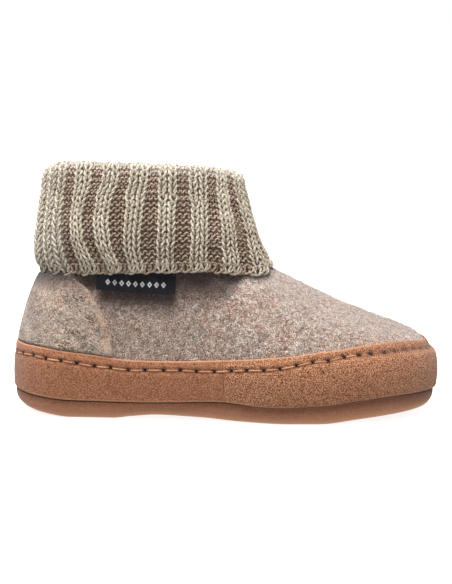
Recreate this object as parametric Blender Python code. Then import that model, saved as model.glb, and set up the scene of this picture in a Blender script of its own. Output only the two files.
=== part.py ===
# Felted wool slipper for a child's right foot, ankle high, with a folded rib-knit cuff.
# The frame: +X points to the toe, +Y to the inner side of the foot, +Z up.
# The origin lies on the floor, below the middle of the heel's flat spot.
# Sizes are in millimetres, and mesh coordinates are turned into metres at the end.

import math

import bmesh
import bpy
import numpy as np
from mathutils import Vector
from mathutils.bvhtree import BVHTree

MM = 0.001
GAP = 0.3

# Length of the shoe over its suede rand, and how the two ends are rounded
HEEL_X = -36.2
TOE_X = 148.2
HEEL_ROUND = 29.0
HEEL_POWER = 2.1
TOE_ROUND = 50.0
TOE_POWER = 2.2

# Outline over the suede rand: middle line and half width along the shoe.
# The half width is what it would be without the round ends.
PLAN = {
    "x": (-36.2, -5.0, 20.0, 45.0, 65.0, 85.0, 100.0, 115.0, 135.0, 148.2),
    "middle_y": (0.0, 0.0, -0.6, -1.6, -1.4, -0.3, 0.8, 2.0, 3.2, 3.6),
    "half_width": (28.4, 28.9, 28.9, 29.6, 33.0, 36.9, 36.8, 35.0, 33.0, 32.0),
}

# Wall thicknesses and heights of the stack, before the toe rises
FELT = 3.0
RAND = 1.8
FOOT_Z = 11.3
INSOLE = 4.0
BALL_X = 88.0

# Collar edge of the felt: an oval seen from above
COLLAR_MIDDLE_X = 24.9
COLLAR_HALF_LENGTH = 42.9
COLLAR_HALF_WIDTH = 27.2
COLLAR_POWER = 2.2

# Profile of the felt, from the sole up to the collar, at places along half the outline.
# place runs from 0 at the back of the heel to 1 at the tip of the toe.
# tuck is how far the foot of the wall stands inside the rand, wall is a pull point
# above the foot and outside it, shoulder and instep are pull points that lie a part
# of the way from the foot to the collar.
PROFILE = {
    "place": (0.00, 0.08, 0.14, 0.22, 0.33, 0.45, 0.54, 0.63, 0.70, 0.77, 0.87, 1.00),
    "collar_angle": (180, 155, 138, 118, 95, 72, 57, 43, 32, 23, 11, 0),
    "collar_z": (65.0, 65.0, 65.0, 65.0, 65.0, 65.0, 65.0, 65.2, 65.4, 65.6, 65.8, 66.0),
    "tuck": (0.4, 0.4, 0.4, 0.4, 0.4, 0.4, 0.4, 0.5, 0.6, 0.7, 0.8, 0.9),
    "wall_out": (0.4, 0.5, 0.6, 0.9, 1.2, 1.6, 2.5, 3.5, 4.2, 4.4, 3.8, 2.6),
    "wall_z": (24.0, 24.0, 24.5, 25.0, 26.0, 26.0, 26.0, 26.0, 27.5, 31.5, 37.5, 42.5),
    "shoulder_part": (0.00, 0.00, 0.00, 0.00, 0.00, 0.05, 0.12, 0.18, 0.21, 0.24, 0.25, 0.26),
    "shoulder_z": (32.5, 33.0, 34.0, 36.0, 38.0, 38.0, 38.0, 41.0, 42.0, 39.5, 36.5, 36.0),
    "instep_part": (0.50, 0.46, 0.42, 0.38, 0.38, 0.45, 0.55, 0.64, 0.64, 0.58, 0.47, 0.37),
    "instep_z": (60.5, 60.0, 58.0, 54.5, 52.0, 50.5, 49.0, 51.0, 52.0, 50.0, 44.9, 41.2),
}

# Suede rand: heights of its two edges, and where its two strips meet at the side
RAND_LOW = {
    "place": (0.00, 0.13, 0.22, 0.34, 0.41, 0.505, 0.57, 0.61, 0.69, 0.765, 0.84, 1.00),
    "z": (10.0, 9.0, 8.0, 7.7, 8.2, 9.0, 7.8, 7.7, 8.6, 10.1, 11.2, 11.6),
}
RAND_TOP = {
    "place": (0.00, 0.13, 0.24, 0.34, 0.41, 0.505, 0.555, 0.625, 0.695, 0.765, 0.88, 1.00),
    "z": (30.4, 29.2, 26.9, 25.6, 25.7, 26.6, 27.1, 29.5, 32.2, 33.0, 32.8, 31.6),
}
RAND_SEAM_PLACE = 0.505
RAND_SEAM_GAP = 0.3

# Rand's thickness from its lower edge, part 0, to its skived upper edge, part 1
RAND_SECTION = {
    "part": (0.0, 0.55, 0.8, 1.0),
    "thickness": (1.8, 1.8, 1.8, 0.9),
}

# Outsole: how far its edge stands inside the outline, and the radius of its lower edge
SOLE_EDGE = {
    "place": (0.00, 0.12, 0.80, 0.92, 1.00),
    "inset": (1.2, 1.0, 1.0, 1.7, 2.6),
    "round": (5.6, 5.0, 5.0, 5.4, 6.0),
}
# Underside of the outsole above the floor: flat under the heel and the ball of the foot
SOLE_LIFT = {
    "x": (-36.2, -20.0, -8.0, 10.0, 18.0, 30.0, 48.0, 66.0, 78.0, 97.0, 115.0, 132.0, 148.2),
    "z": (3.0, 1.1, 0.0, 0.0, 0.9, 1.8, 1.2, 0.2, 0.0, 0.0, 1.5, 2.7, 3.6),
}

# Felt counter around the heel: its front edge, and its thickness
COUNTER_THICKNESS = 1.2
COUNTER_GAP = 0.4
COUNTER_BELOW_CUFF = 1.0
COUNTER_EDGE = {
    "z": (27.0, 34.0, 39.5, 44.5, 50.0, 55.0, 60.0),
    "x": (11.0, 10.6, 9.3, 6.6, 3.7, 0.4, -6.0),
}

# Knit cuff: outside of the folded-down layer at several heights, and its rim and lower
# edge by the angle around the ankle, 0 in front and 180 at the back
CUFF_LEVELS = {
    "z": (60.0, 66.0, 72.0, 80.0, 88.0, 95.0, 100.0),
    "back_x": (-25.0, -26.8, -26.9, -25.9, -24.7, -23.6, -22.4),
    "front_x": (78.9, 75.6, 72.0, 69.4, 67.2, 65.4, 63.2),
    "half_width": (32.4, 32.9, 33.2, 32.9, 32.2, 31.2, 30.0),
}
CUFF_POWER = 2.2
CUFF_LAYER = 3.0
CUFF_HOLLOW = 1.5
CUFF_EDGE_LAYER = 2.3
CUFF_CLEAR = 0.6
CUFF_TURN_Z = 96.0
CUFF_HOLLOW_Z = 73.0
CUFF_RIM_Z = {
    "angle": (0.0, 45.0, 90.0, 135.0, 180.0),
    "z": (102.8, 104.2, 105.2, 106.2, 106.6),
}
CUFF_LOW_Z = {
    "angle": (0.0, 10.0, 24.0, 45.0, 68.0, 125.0, 180.0),
    "z": (63.0, 62.0, 59.2, 61.0, 62.7, 61.9, 59.8),
}
# Inside face of the cuff: how far it has moved from the outer layer's oval to the collar's
CUFF_INSIDE = {
    "z": (84.0, 74.0),
    "to_collar": (0.25, 0.75),
}
RIBS = 18
RIB_DEPTH = 1.5
RIB_AT_X = 32.3
RIB_AT_Z = 83.0

# Small woven tab below the cuff, on the outer side
TAB_X = (4.4, 37.4)
TAB_Z = (54.1, 63.4)
TAB_THICKNESS = 0.8

# Mesh density: steps along half the outline, and the rows of each piece
AROUND = 36
UPPER_RISES = (0.0, 0.06, 0.12, 0.19, 0.27, 0.36, 0.47, 0.59, 0.70, 0.80, 0.90, 1.0)
RAND_PARTS = (0.0, 0.25, 0.5, 0.7, 0.86, 1.0)
SOLE_EDGE_DEGREES = (0.0, 30.0, 60.0, 90.0)
CUFF_PARTS = (0.0, 0.14, 0.35, 0.58, 0.8, 1.0)
CUFF_RIM_DEGREES = (35.0, 70.0, 110.0, 145.0)
POINTS_PER_RIB = 6
COUNTER_ROWS, COUNTER_COLUMNS = 9, 23
TAB_ROWS, TAB_COLUMNS = 3, 6

# Steps that find a spot of the felt from its x and z, and the place they start from
SEARCH_STEPS = 4
SEARCH_FROM = 0.3
SEARCH_TO = 0.6
SLOPE_STEP = 0.004


def smooth(table, key, column, at):
    """Read a table at any place, on a smooth curve that never overshoots its rows."""
    xs = np.asarray(table[key], float)
    ys = np.asarray(table[column], float)
    at = np.asarray(at, float)
    rates = np.diff(ys) / np.diff(xs)
    before, after = rates[:-1], rates[1:]
    together = np.where(before * after > 0.0, before + after, 1.0)
    inner = np.where(before * after > 0.0, 2.0 * before * after / together, 0.0)
    slopes = np.concatenate(([0.0], inner, [0.0]))
    row = np.clip(np.searchsorted(xs, at) - 1, 0, len(xs) - 2)
    width = xs[row + 1] - xs[row]
    t = np.clip((at - xs[row]) / width, 0.0, 1.0)
    start = (1 + 2 * t) * (1 - t) ** 2 * ys[row] + t * (1 - t) ** 2 * width * slopes[row]
    end = t * t * (3 - 2 * t) * ys[row + 1] - t * t * (1 - t) * width * slopes[row + 1]
    return start + end


def plan_half_width(x):
    """Half width of the rand's outline, with the round heel and toe."""
    heel = np.clip((HEEL_X + HEEL_ROUND - x) / HEEL_ROUND, 0.0, 1.0)
    toe = np.clip((x - TOE_X + TOE_ROUND) / TOE_ROUND, 0.0, 1.0)
    heel_end = (1 - heel ** HEEL_POWER) ** (1 / HEEL_POWER)
    toe_end = (1 - toe ** TOE_POWER) ** (1 / TOE_POWER)
    return smooth(PLAN, "x", "half_width", x) * heel_end * toe_end


def make_stations():
    """Even steps along half of the outline: the x of each place from 0 to 1."""
    x = HEEL_X + (TOE_X - HEEL_X) * (1 - np.cos(np.linspace(0.0, math.pi, 2001))) / 2
    half = plan_half_width(x)
    walked = np.concatenate(([0.0], np.cumsum(np.hypot(np.diff(x), np.diff(half)))))
    return walked / walked[-1], x, walked[-1]


STATION_PLACES, STATION_XS, HALF_GIRTH = make_stations()


def place_of(around):
    """Place from 0 at the heel to 1 at the toe; around runs from 0 to 2, outer side first."""
    around = np.mod(around, 2.0)
    return np.where(around <= 1.0, around, 2.0 - around)


def side_of(around):
    """-1 on the outer side of the foot, which is the -Y side, and +1 on the inner side."""
    return np.where(np.mod(around, 2.0) <= 1.0, -1.0, 1.0)


def plan_point(around):
    """A point of the rand's outline."""
    x = np.interp(place_of(around), STATION_PLACES, STATION_XS)
    y = smooth(PLAN, "x", "middle_y", x) + side_of(around) * plan_half_width(x)
    return np.stack((x, y), axis=-1)


def plan_outline(around, inset):
    """The outline moved inwards by inset."""
    along = plan_point(around + SLOPE_STEP) - plan_point(around - SLOPE_STEP)
    along /= np.linalg.norm(along, axis=-1, keepdims=True)
    inward = np.stack((-along[..., 1], along[..., 0]), axis=-1)
    return plan_point(around) + inward * np.asarray(inset)[..., None]


def oval(angle_degrees, back_x, front_x, half_width, power):
    """Point of an oval, 180 degrees at the back, on the -Y side up to 0 in front."""
    angle = np.radians(angle_degrees)
    c, s = np.cos(angle), np.sin(angle)
    reach = np.sign(c) * np.abs(c) ** (2 / power)
    spread = np.sign(s) * np.abs(s) ** (2 / power)
    x = (back_x + front_x) / 2 + (front_x - back_x) / 2 * reach
    return np.stack((x, -half_width * spread), axis=-1)


def collar_oval(angle_degrees):
    """Outside of the felt's top edge, by angle."""
    low, high = COLLAR_MIDDLE_X - COLLAR_HALF_LENGTH, COLLAR_MIDDLE_X + COLLAR_HALF_LENGTH
    return oval(angle_degrees, low, high, COLLAR_HALF_WIDTH, COLLAR_POWER)


def collar_point(around):
    """Outside of the felt's top edge, by its step around the shoe."""
    angle = smooth(PROFILE, "place", "collar_angle", place_of(around)) * -side_of(around)
    return collar_oval(angle)


def sole_lift(x):
    """Height of the outsole's underside above the floor."""
    return smooth(SOLE_LIFT, "x", "z", x)


def foot_z(place):
    """Height of the felt's lower edge: level, and rising with the sole in front of the ball."""
    x = np.interp(place, STATION_PLACES, STATION_XS)
    return FOOT_Z + np.where(x > BALL_X, sole_lift(x), 0.0)


def felt_surface(around, rise):
    """Outside of the felt: rise runs from 0 at its foot to 1 at the collar."""
    around, rise = np.broadcast_arrays(np.asarray(around, float), np.asarray(rise, float))
    place = place_of(around)
    row = {name: smooth(PROFILE, "place", name, place) for name in PROFILE if name != "place"}
    inset = RAND + GAP + row["tuck"]
    foot = plan_outline(around, inset)
    wall = plan_outline(around, inset - row["wall_out"])
    collar = collar_point(around)
    shoulder = foot + (collar - foot) * row["shoulder_part"][..., None]
    instep = foot + (collar - foot) * row["instep_part"][..., None]
    pulls = (
        (foot, foot_z(place)),
        (wall, row["wall_z"]),
        (shoulder, row["shoulder_z"]),
        (instep, row["instep_z"]),
        (collar, row["collar_z"]),
    )
    total = np.zeros(around.shape + (3,))
    for number, (plan, z) in enumerate(pulls):
        weight = math.comb(4, number) * rise ** number * (1 - rise) ** (4 - number)
        total[..., :2] += plan * weight[..., None]
        total[..., 2] += z * weight
    return total


def felt_form(around, rise, out):
    """The felt's outside moved outwards by out, square to the surface."""
    across = felt_surface(around + SLOPE_STEP, rise) - felt_surface(around - SLOPE_STEP, rise)
    up = felt_surface(around, rise + SLOPE_STEP) - felt_surface(around, rise - SLOPE_STEP)
    normal = np.cross(across, up)
    normal /= np.linalg.norm(normal, axis=-1, keepdims=True)
    return felt_surface(around, rise) + normal * np.asarray(out)[..., None]


def rise_at_height(around, z):
    """The rise at which the felt's outside reaches a height; below its foot it is negative."""
    around, z = np.broadcast_arrays(np.asarray(around, float), np.asarray(z, float))
    steps = np.linspace(-0.15, 1.0, 231)
    result = np.empty(around.shape)
    for index in np.ndindex(around.shape):
        heights = felt_surface(np.full(steps.shape, around[index]), steps)[:, 2]
        result[index] = np.interp(z[index], heights, steps)
    return result


def place_at_x(x, rise, side):
    """The place where the felt has a given x, at one rise; side is 0 or 2 for -Y or +Y."""
    places = np.linspace(0.0, SEARCH_TO, 121)
    around = np.abs(side - places)
    xs = felt_surface(around, np.full(around.shape, rise))[:, 0]
    return float(np.interp(x, xs, places))


def new_object(name, vertices, faces, colour, roughness, sharp_degrees=40.0):
    """A named mesh object with its own material, faces turned outwards."""
    mesh = bpy.data.meshes.new(name)
    shape = bmesh.new()
    corners = [shape.verts.new(Vector(point) * MM) for point in vertices]
    for face in faces:
        shape.faces.new([corners[index] for index in face])
    bmesh.ops.recalc_face_normals(shape, faces=shape.faces)
    if shape.calc_volume(signed=True) < 0.0:
        bmesh.ops.reverse_faces(shape, faces=shape.faces)
    shape.to_mesh(mesh)
    shape.free()
    mesh.shade_smooth()
    mesh.set_sharp_from_angle(angle=math.radians(sharp_degrees))
    material = bpy.data.materials.new(name)
    material.use_nodes = True
    shader = material.node_tree.nodes["Principled BSDF"]
    shader.inputs["Base Color"].default_value = (*colour, 1.0)
    shader.inputs["Roughness"].default_value = roughness
    shader.inputs["Metallic"].default_value = 0.0
    mesh.materials.append(material)
    thing = bpy.data.objects.new(name, mesh)
    bpy.context.scene.collection.objects.link(thing)
    return thing


def join_rings(rings, closed_section):
    """Faces between rings of points; the section closes when last and first ring join."""
    count = len(rings[0])
    vertices = np.concatenate(rings)
    faces = []
    steps = len(rings) if closed_section else len(rings) - 1
    for level in range(steps):
        low = level * count
        high = (level + 1) % len(rings) * count
        for i in range(count):
            j = (i + 1) % count
            faces.append((low + i, low + j, high + j, high + i))
    return vertices, faces


def ladder_cap(first, count):
    """Quads across a ring, from its outer to its inner side, with ends at heel and toe."""
    half = count // 2
    faces = [(first, first + 1, first + count - 1)]
    for i in range(1, half - 1):
        faces.append((first + i, first + i + 1, first + count - i - 1, first + count - i))
    faces.append((first + half - 1, first + half, first + half + 1))
    return faces


def grid_plate(outer, inner):
    """A closed plate between two grids of points of the same size."""
    rows, columns = outer.shape[:2]
    vertices = np.concatenate((outer.reshape(-1, 3), inner.reshape(-1, 3)))
    back = rows * columns
    faces = []
    for r in range(rows - 1):
        for c in range(columns - 1):
            a = r * columns + c
            quad = (a, a + 1, a + columns + 1, a + columns)
            faces.append(quad)
            faces.append(tuple(back + index for index in reversed(quad)))
    rim = list(range(columns))
    rim += [r * columns + columns - 1 for r in range(1, rows)]
    rim += [(rows - 1) * columns + c for c in range(columns - 2, -1, -1)]
    rim += [r * columns for r in range(rows - 2, 0, -1)]
    for a, b in zip(rim, rim[1:] + rim[:1]):
        faces.append((a, b, back + b, back + a))
    return vertices, faces


def overlay_plate(spots, gap, thickness):
    """A plate cut between two larger forms of the felt, over a grid of (around, rise) spots."""
    sides = []
    for out in (gap + thickness, gap):
        sides.append(felt_form(spots[..., 0], spots[..., 1], np.full(spots.shape[:2], out)))
    return grid_plate(*sides)


def ring_steps():
    """Even steps once around the shoe."""
    return np.arange(2 * AROUND) / AROUND


def rand_low(around):
    """Height of the rand's lower edge."""
    return smooth(RAND_LOW, "place", "z", place_of(around))


def rand_top(around):
    """Height of the rand's upper edge."""
    return smooth(RAND_TOP, "place", "z", place_of(around))


def make_outsole():
    """One moulded sole: a rounded edge, a ledge under the rand, and a plug inside the rand."""
    around = ring_steps()
    place = place_of(around)
    ledge_z = rand_low(around) - GAP
    side_inset = smooth(SOLE_EDGE, "place", "inset", place)
    edge_round = smooth(SOLE_EDGE, "place", "round", place)
    rings = []
    for z in (foot_z(place) - GAP, ledge_z):
        plug = felt_form(around, rise_at_height(around, z), np.zeros(around.shape))
        rings.append(np.column_stack((plug[:, :2], z)))
    rings.append(np.column_stack((plan_outline(around, side_inset), ledge_z)))
    for degrees in SOLE_EDGE_DEGREES:
        angle = math.radians(degrees)
        plan = plan_outline(around, side_inset + edge_round * (1 - math.cos(angle)))
        z = sole_lift(plan[:, 0]) + edge_round * (1 - math.sin(angle))
        rings.append(np.column_stack((plan, z)))
    vertices, faces = join_rings(rings, closed_section=False)
    faces += ladder_cap(0, len(around))
    faces += ladder_cap((len(rings) - 1) * len(around), len(around))
    return new_object("outsole", vertices, faces, (0.42, 0.20, 0.09), 0.85)


def make_insole():
    """A flat felt inlay that lies on the sole's plug, inside the upper's wall."""
    around = ring_steps()[::2]
    rings = []
    for height in (0.0, INSOLE):
        z = foot_z(place_of(around)) + height
        rise = rise_at_height(around, z)
        inside = felt_form(around, rise, np.full(around.shape, -FELT - 2 * GAP))
        rings.append(np.column_stack((inside[:, :2], z)))
    vertices, faces = join_rings(rings, closed_section=False)
    faces += ladder_cap(0, len(around)) + ladder_cap(len(around), len(around))
    return new_object("insole", vertices, faces, (0.55, 0.47, 0.38), 0.95)


def make_upper():
    """The felt upper: one hollow wall, open at the collar and underneath."""
    around = ring_steps()
    outside = []
    inside = []
    for rise in UPPER_RISES:
        rises = np.full(around.shape, rise)
        outside.append(felt_form(around, rises, np.zeros(around.shape)))
        inside.append(felt_form(around, rises, np.full(around.shape, -FELT)))
    # Both cut edges are level, or lean inwards
    inside[0][:, 2] = outside[0][:, 2]
    inside[-1][:, 2] = np.minimum(inside[-1][:, 2], outside[-1][:, 2])
    vertices, faces = join_rings(outside + inside[::-1], closed_section=True)
    return new_object("upper", vertices, faces, (0.33, 0.25, 0.20), 0.95, sharp_degrees=60.0)


def make_rand(name, start, end):
    """One suede strip of the rand around the foot of the upper."""
    steps = np.arange(math.ceil(start * AROUND), math.floor(end * AROUND) + 1) / AROUND
    around = np.concatenate(([start], steps, [end]))
    low, top = rand_low(around), rand_top(around)
    outer = []
    inner = []
    for part in RAND_PARTS:
        rise = rise_at_height(around, low + (top - low) * part)
        thickness = float(smooth(RAND_SECTION, "part", "thickness", part))
        outer.append(felt_form(around, rise, np.full(around.shape, GAP + thickness)))
        inner.append(felt_form(around, rise, np.full(around.shape, GAP)))
    for rows in (outer, inner):
        rows[0][:, 2] = low
    vertices, faces = grid_plate(np.stack(outer), np.stack(inner))
    return new_object(name, vertices, faces, (0.45, 0.21, 0.09), 0.9)


def cuff_low_at(around):
    """Height of the cuff's lower edge over a place of the shoe."""
    angle = float(smooth(PROFILE, "place", "collar_angle", place_of(around)))
    return float(smooth(CUFF_LOW_Z, "angle", "z", angle))


def counter_spot(part, across):
    """Spot of the counter: part 0 at the rand to 1 at the cuff, across -1 to 1 over the heel."""
    side = 0.0 if across <= 0 else 2.0
    place = abs(across) * SEARCH_FROM
    for _ in range(SEARCH_STEPS):
        around = abs(side - place)
        low = float(rand_top(around)) + GAP
        top = cuff_low_at(around) - COUNTER_BELOW_CUFF
        z = low + (top - low) * part
        rise = float(rise_at_height(around, z))
        edge_x = float(smooth(COUNTER_EDGE, "z", "x", z))
        place = abs(across) * place_at_x(edge_x, rise, side)
    return abs(side - place), rise


def make_counter():
    """Felt overlay around the heel, from the rand up to the cuff."""
    spots = np.array([
        [counter_spot(part, across) for across in np.linspace(-1.0, 1.0, COUNTER_COLUMNS)]
        for part in np.linspace(0.0, 1.0, COUNTER_ROWS)
    ])
    vertices, faces = overlay_plate(spots, COUNTER_GAP, COUNTER_THICKNESS)
    return new_object("heel_counter", vertices, faces, (0.34, 0.26, 0.20), 0.95)


def cuff_outline(angle, z, inset):
    """Outline of the cuff at a height, moved inwards by inset."""
    def at(degrees):
        level = [smooth(CUFF_LEVELS, "z", name, z) for name in ("back_x", "front_x", "half_width")]
        return oval(degrees, *level, CUFF_POWER)

    step = 0.5
    along = at(angle + step) - at(angle - step)
    along /= np.linalg.norm(along, axis=-1, keepdims=True)
    outward = np.stack((along[..., 1], -along[..., 0]), axis=-1)
    return at(angle) + outward * np.asarray(inset)[..., None]


def cuff_angles(count):
    """Angles of even steps around the cuff, starting at the back, and their distance."""
    angle = np.linspace(180.0, -180.0, 3601)
    points = cuff_outline(angle, np.full(angle.shape, RIB_AT_Z), np.zeros(angle.shape))
    walked = np.concatenate(([0.0], np.cumsum(np.linalg.norm(np.diff(points, axis=0), axis=1))))
    on_side = angle > 0
    rib_at = np.interp(RIB_AT_X, points[on_side][:, 0], walked[on_side])
    rib_width = walked[-1] / RIBS
    distances = rib_at % rib_width + np.arange(count) * walked[-1] / count
    return np.interp(distances % walked[-1], walked, angle), np.arange(count) * RIBS / count


def rib_height(turns):
    """1 on a rib, 0 in a valley, with sloping sides."""
    wave = np.cos(2 * math.pi * turns)
    return np.clip(0.5 + wave * 0.75, 0.0, 1.0)


def make_cuff(upper):
    """Rib-knit cuff: it stands on the felt's collar edge and is folded down outside."""
    corners = [corner.co / MM for corner in upper.data.vertices]
    felt = BVHTree.FromPolygons(corners, [tuple(face.vertices) for face in upper.data.polygons])
    angle, turns = cuff_angles(RIBS * POINTS_PER_RIB)
    flat_angle = np.abs(angle)
    low_z = smooth(CUFF_LOW_Z, "angle", "z", flat_angle)
    rim_z = smooth(CUFF_RIM_Z, "angle", "z", flat_angle)
    collar_z = np.interp(flat_angle, PROFILE["collar_angle"][::-1], PROFILE["collar_z"][::-1])
    seat_z = collar_z + GAP
    valley = RIB_DEPTH * (1 - rib_height(turns))
    fold = 2 * CUFF_LAYER + CUFF_HOLLOW
    middle = np.array((COLLAR_MIDDLE_X, 0.0))
    rings = []

    def add_ring(z, inset, to_collar=0.0, collar_inset=0.0):
        """A ring inside the cuff's outline, moved part of the way to the collar's oval."""
        z, inset, collar_inset, _ = np.broadcast_arrays(z, inset, collar_inset, angle)
        outline = cuff_outline(angle, z, inset)
        collar = collar_oval(angle) - middle
        reach = np.linalg.norm(collar, axis=1)
        seat = middle + collar * (1 - collar_inset / reach)[:, None]
        rings.append(np.column_stack((outline * (1 - to_collar) + seat * to_collar, z)))

    def clear_of_felt(ring):
        """Raise the points of a ring that would cut into the felt."""
        for point in ring:
            hit = felt.ray_cast(Vector((point[0], point[1], CUFF_TURN_Z)), Vector((0, 0, -1)))[0]
            if hit is not None and hit.z + CUFF_CLEAR > point[2]:
                point[2] = hit.z + CUFF_CLEAR

    # Outside of the folded-down layer, from its lower edge up to the turn
    for part in CUFF_PARTS:
        add_ring(low_z + (CUFF_TURN_Z - low_z) * part, valley)
    clear_of_felt(rings[0])
    # Over the rim
    for degrees in CUFF_RIM_DEGREES:
        turn = math.radians(degrees)
        add_ring(CUFF_TURN_Z, fold / 2 * (1 - math.cos(turn)) + valley * math.cos(turn))
        rise = rim_z - valley * math.sin(turn) - CUFF_TURN_Z
        rings[-1][:, 2] = CUFF_TURN_Z + rise * math.sin(turn)
    # Inside face, down to the felt's collar
    add_ring(CUFF_TURN_Z, fold - valley)
    for z, to_collar in zip(CUFF_INSIDE["z"], CUFF_INSIDE["to_collar"]):
        add_ring(z, fold - valley, to_collar, CUFF_LAYER - valley)
    add_ring(seat_z, fold - valley, 1.0, CUFF_LAYER - valley / 2)
    # Hidden hollow between the two layers
    add_ring(seat_z, fold - CUFF_LAYER, 1.0)
    add_ring(CUFF_HOLLOW_Z, fold - CUFF_LAYER, 0.3)
    add_ring(CUFF_TURN_Z, fold - CUFF_LAYER)
    add_ring(CUFF_TURN_Z, CUFF_LAYER)
    add_ring(CUFF_HOLLOW_Z, CUFF_LAYER)
    add_ring(low_z, CUFF_EDGE_LAYER)
    clear_of_felt(rings[-1])
    vertices, faces = join_rings(rings, closed_section=True)
    return new_object("cuff", vertices, faces, (0.50, 0.45, 0.36), 0.95)


def tab_spot(x, z):
    """Spot of the felt's outer side with a given x and z."""
    place = SEARCH_FROM
    for _ in range(SEARCH_STEPS):
        rise = float(rise_at_height(place, z))
        place = place_at_x(x, rise, 0.0)
    return place, rise


def make_tab():
    """Small woven tab on the outer side of the felt, tucked below the cuff."""
    spots = np.array([
        [tab_spot(x, z) for x in np.linspace(*TAB_X, TAB_COLUMNS)]
        for z in np.linspace(*TAB_Z, TAB_ROWS)
    ])
    vertices, faces = overlay_plate(spots, GAP, TAB_THICKNESS)
    return new_object("label", vertices, faces, (0.02, 0.02, 0.03), 0.7)


def clear_scene():
    """Remove what the file holds at the start."""
    for thing in list(bpy.data.objects):
        bpy.data.objects.remove(thing, do_unlink=True)


def main():
    clear_scene()
    make_outsole()
    make_insole()
    upper = make_upper()
    # The two strips of the rand meet at the sides, a little in front of the middle
    half_gap = RAND_SEAM_GAP / 2 / HALF_GIRTH
    heel_end = RAND_SEAM_PLACE - half_gap
    toe_start = RAND_SEAM_PLACE + half_gap
    make_rand("rand_heel", -heel_end, heel_end)
    make_rand("rand_toe", toe_start, 2.0 - toe_start)
    make_counter()
    make_cuff(upper)
    make_tab()


main()
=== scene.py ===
# %% [markdown]
# # A felted wool slipper, cell by cell
#
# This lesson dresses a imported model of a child's slipper: thick mottled felt, a rib-knit cuff
# folded down over the ankle, a suede rand with one running stitch, and a soft foam sole. The
# frame holds the plain solids at their real size. Every visible piece is built here around
# them, in the same place, so nothing has to be fitted by eye.

import math

import bpy
import numpy as np
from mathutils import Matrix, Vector, noise
from mathutils.bvhtree import BVHTree


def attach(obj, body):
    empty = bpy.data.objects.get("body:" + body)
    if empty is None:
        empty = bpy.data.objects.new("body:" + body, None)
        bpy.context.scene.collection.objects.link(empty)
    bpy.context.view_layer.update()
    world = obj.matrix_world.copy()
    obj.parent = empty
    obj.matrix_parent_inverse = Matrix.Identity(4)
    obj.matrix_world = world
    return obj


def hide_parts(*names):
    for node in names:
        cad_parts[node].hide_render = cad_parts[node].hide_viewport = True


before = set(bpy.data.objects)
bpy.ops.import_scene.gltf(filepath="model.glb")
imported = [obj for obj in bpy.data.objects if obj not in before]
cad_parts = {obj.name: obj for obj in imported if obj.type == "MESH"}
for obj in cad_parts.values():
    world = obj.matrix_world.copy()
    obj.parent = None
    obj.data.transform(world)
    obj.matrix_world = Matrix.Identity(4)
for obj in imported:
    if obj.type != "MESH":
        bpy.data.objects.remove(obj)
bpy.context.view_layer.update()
MM = 0.001
print("solids in the frame:", ", ".join(sorted(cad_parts)))

# %% [markdown]
# ## The last, as numbers
#
# A real slipper is pulled over a last, a foot-shaped block. Here the last is a few short
# tables in millimetres: the outline seen from above, the profile of the felt from the sole up
# to the collar, and the two edges of the suede. They could be traced as hundreds of points,
# but a table with one row for each place stays readable, and a smooth curve through its rows
# gives every point in between. Most of them are the same numbers as in the solids' own
# source. Only the edges of the suede and of the cuff follow the photograph more closely.

# %% Outline and profile tables
HEEL_X, TOE_X = -36.2, 148.2
HEEL_ROUND, HEEL_POWER = 29.0, 2.1
TOE_ROUND, TOE_POWER = 50.0, 2.2
PLAN = {
    "x": (-36.2, -5.0, 20.0, 45.0, 65.0, 85.0, 100.0, 115.0, 135.0, 148.2),
    "middle_y": (0.0, 0.0, -0.6, -1.6, -1.4, -0.3, 0.8, 2.0, 3.2, 3.6),
    "half_width": (28.4, 28.9, 28.9, 29.6, 33.0, 36.9, 36.8, 35.0, 33.0, 32.0),
}
FELT, RAND, GAP = 3.0, 1.8, 0.3
FOOT_Z, INSOLE, BALL_X = 11.3, 4.0, 88.0
COLLAR_MIDDLE_X, COLLAR_HALF_LENGTH, COLLAR_HALF_WIDTH = 24.9, 42.9, 27.2
OVAL_POWER = 2.2
PROFILE = {
    "place": (0.00, 0.08, 0.14, 0.22, 0.33, 0.45, 0.54, 0.63, 0.70, 0.77, 0.87, 1.00),
    "collar_angle": (180, 155, 138, 118, 95, 72, 57, 43, 32, 23, 11, 0),
    "collar_z": (65.0, 65.0, 65.0, 65.0, 65.0, 65.0, 65.0, 65.2, 65.4, 65.6, 65.8, 66.0),
    "tuck": (0.4, 0.4, 0.4, 0.4, 0.4, 0.4, 0.4, 0.5, 0.6, 0.7, 0.8, 0.9),
    "wall_out": (0.4, 0.5, 0.6, 0.9, 1.2, 1.6, 2.5, 3.5, 4.2, 4.4, 3.8, 2.6),
    "wall_z": (24.0, 24.0, 24.5, 25.0, 26.0, 26.0, 26.0, 26.0, 27.5, 31.5, 37.5, 42.5),
    "shoulder_part": (0.00, 0.00, 0.00, 0.00, 0.00, 0.05, 0.12, 0.18, 0.21, 0.24, 0.25, 0.26),
    "shoulder_z": (32.5, 33.0, 34.0, 36.0, 38.0, 38.0, 38.0, 41.0, 42.0, 39.5, 36.5, 36.0),
    "instep_part": (0.50, 0.46, 0.42, 0.38, 0.38, 0.45, 0.55, 0.64, 0.64, 0.58, 0.47, 0.37),
    "instep_z": (60.5, 60.0, 58.0, 54.5, 52.0, 50.5, 49.0, 51.0, 52.0, 50.0, 44.9, 41.2),
}
RAND_LOW = {
    "place": (0.00, 0.06, 0.13, 0.22, 0.34, 0.41, 0.505, 0.57, 0.61, 0.69, 0.765, 0.84, 1.00),
    "z": (11.3, 10.5, 9.2, 8.0, 7.7, 8.2, 9.0, 7.8, 7.7, 8.6, 10.1, 11.2, 11.6),
}
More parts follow.
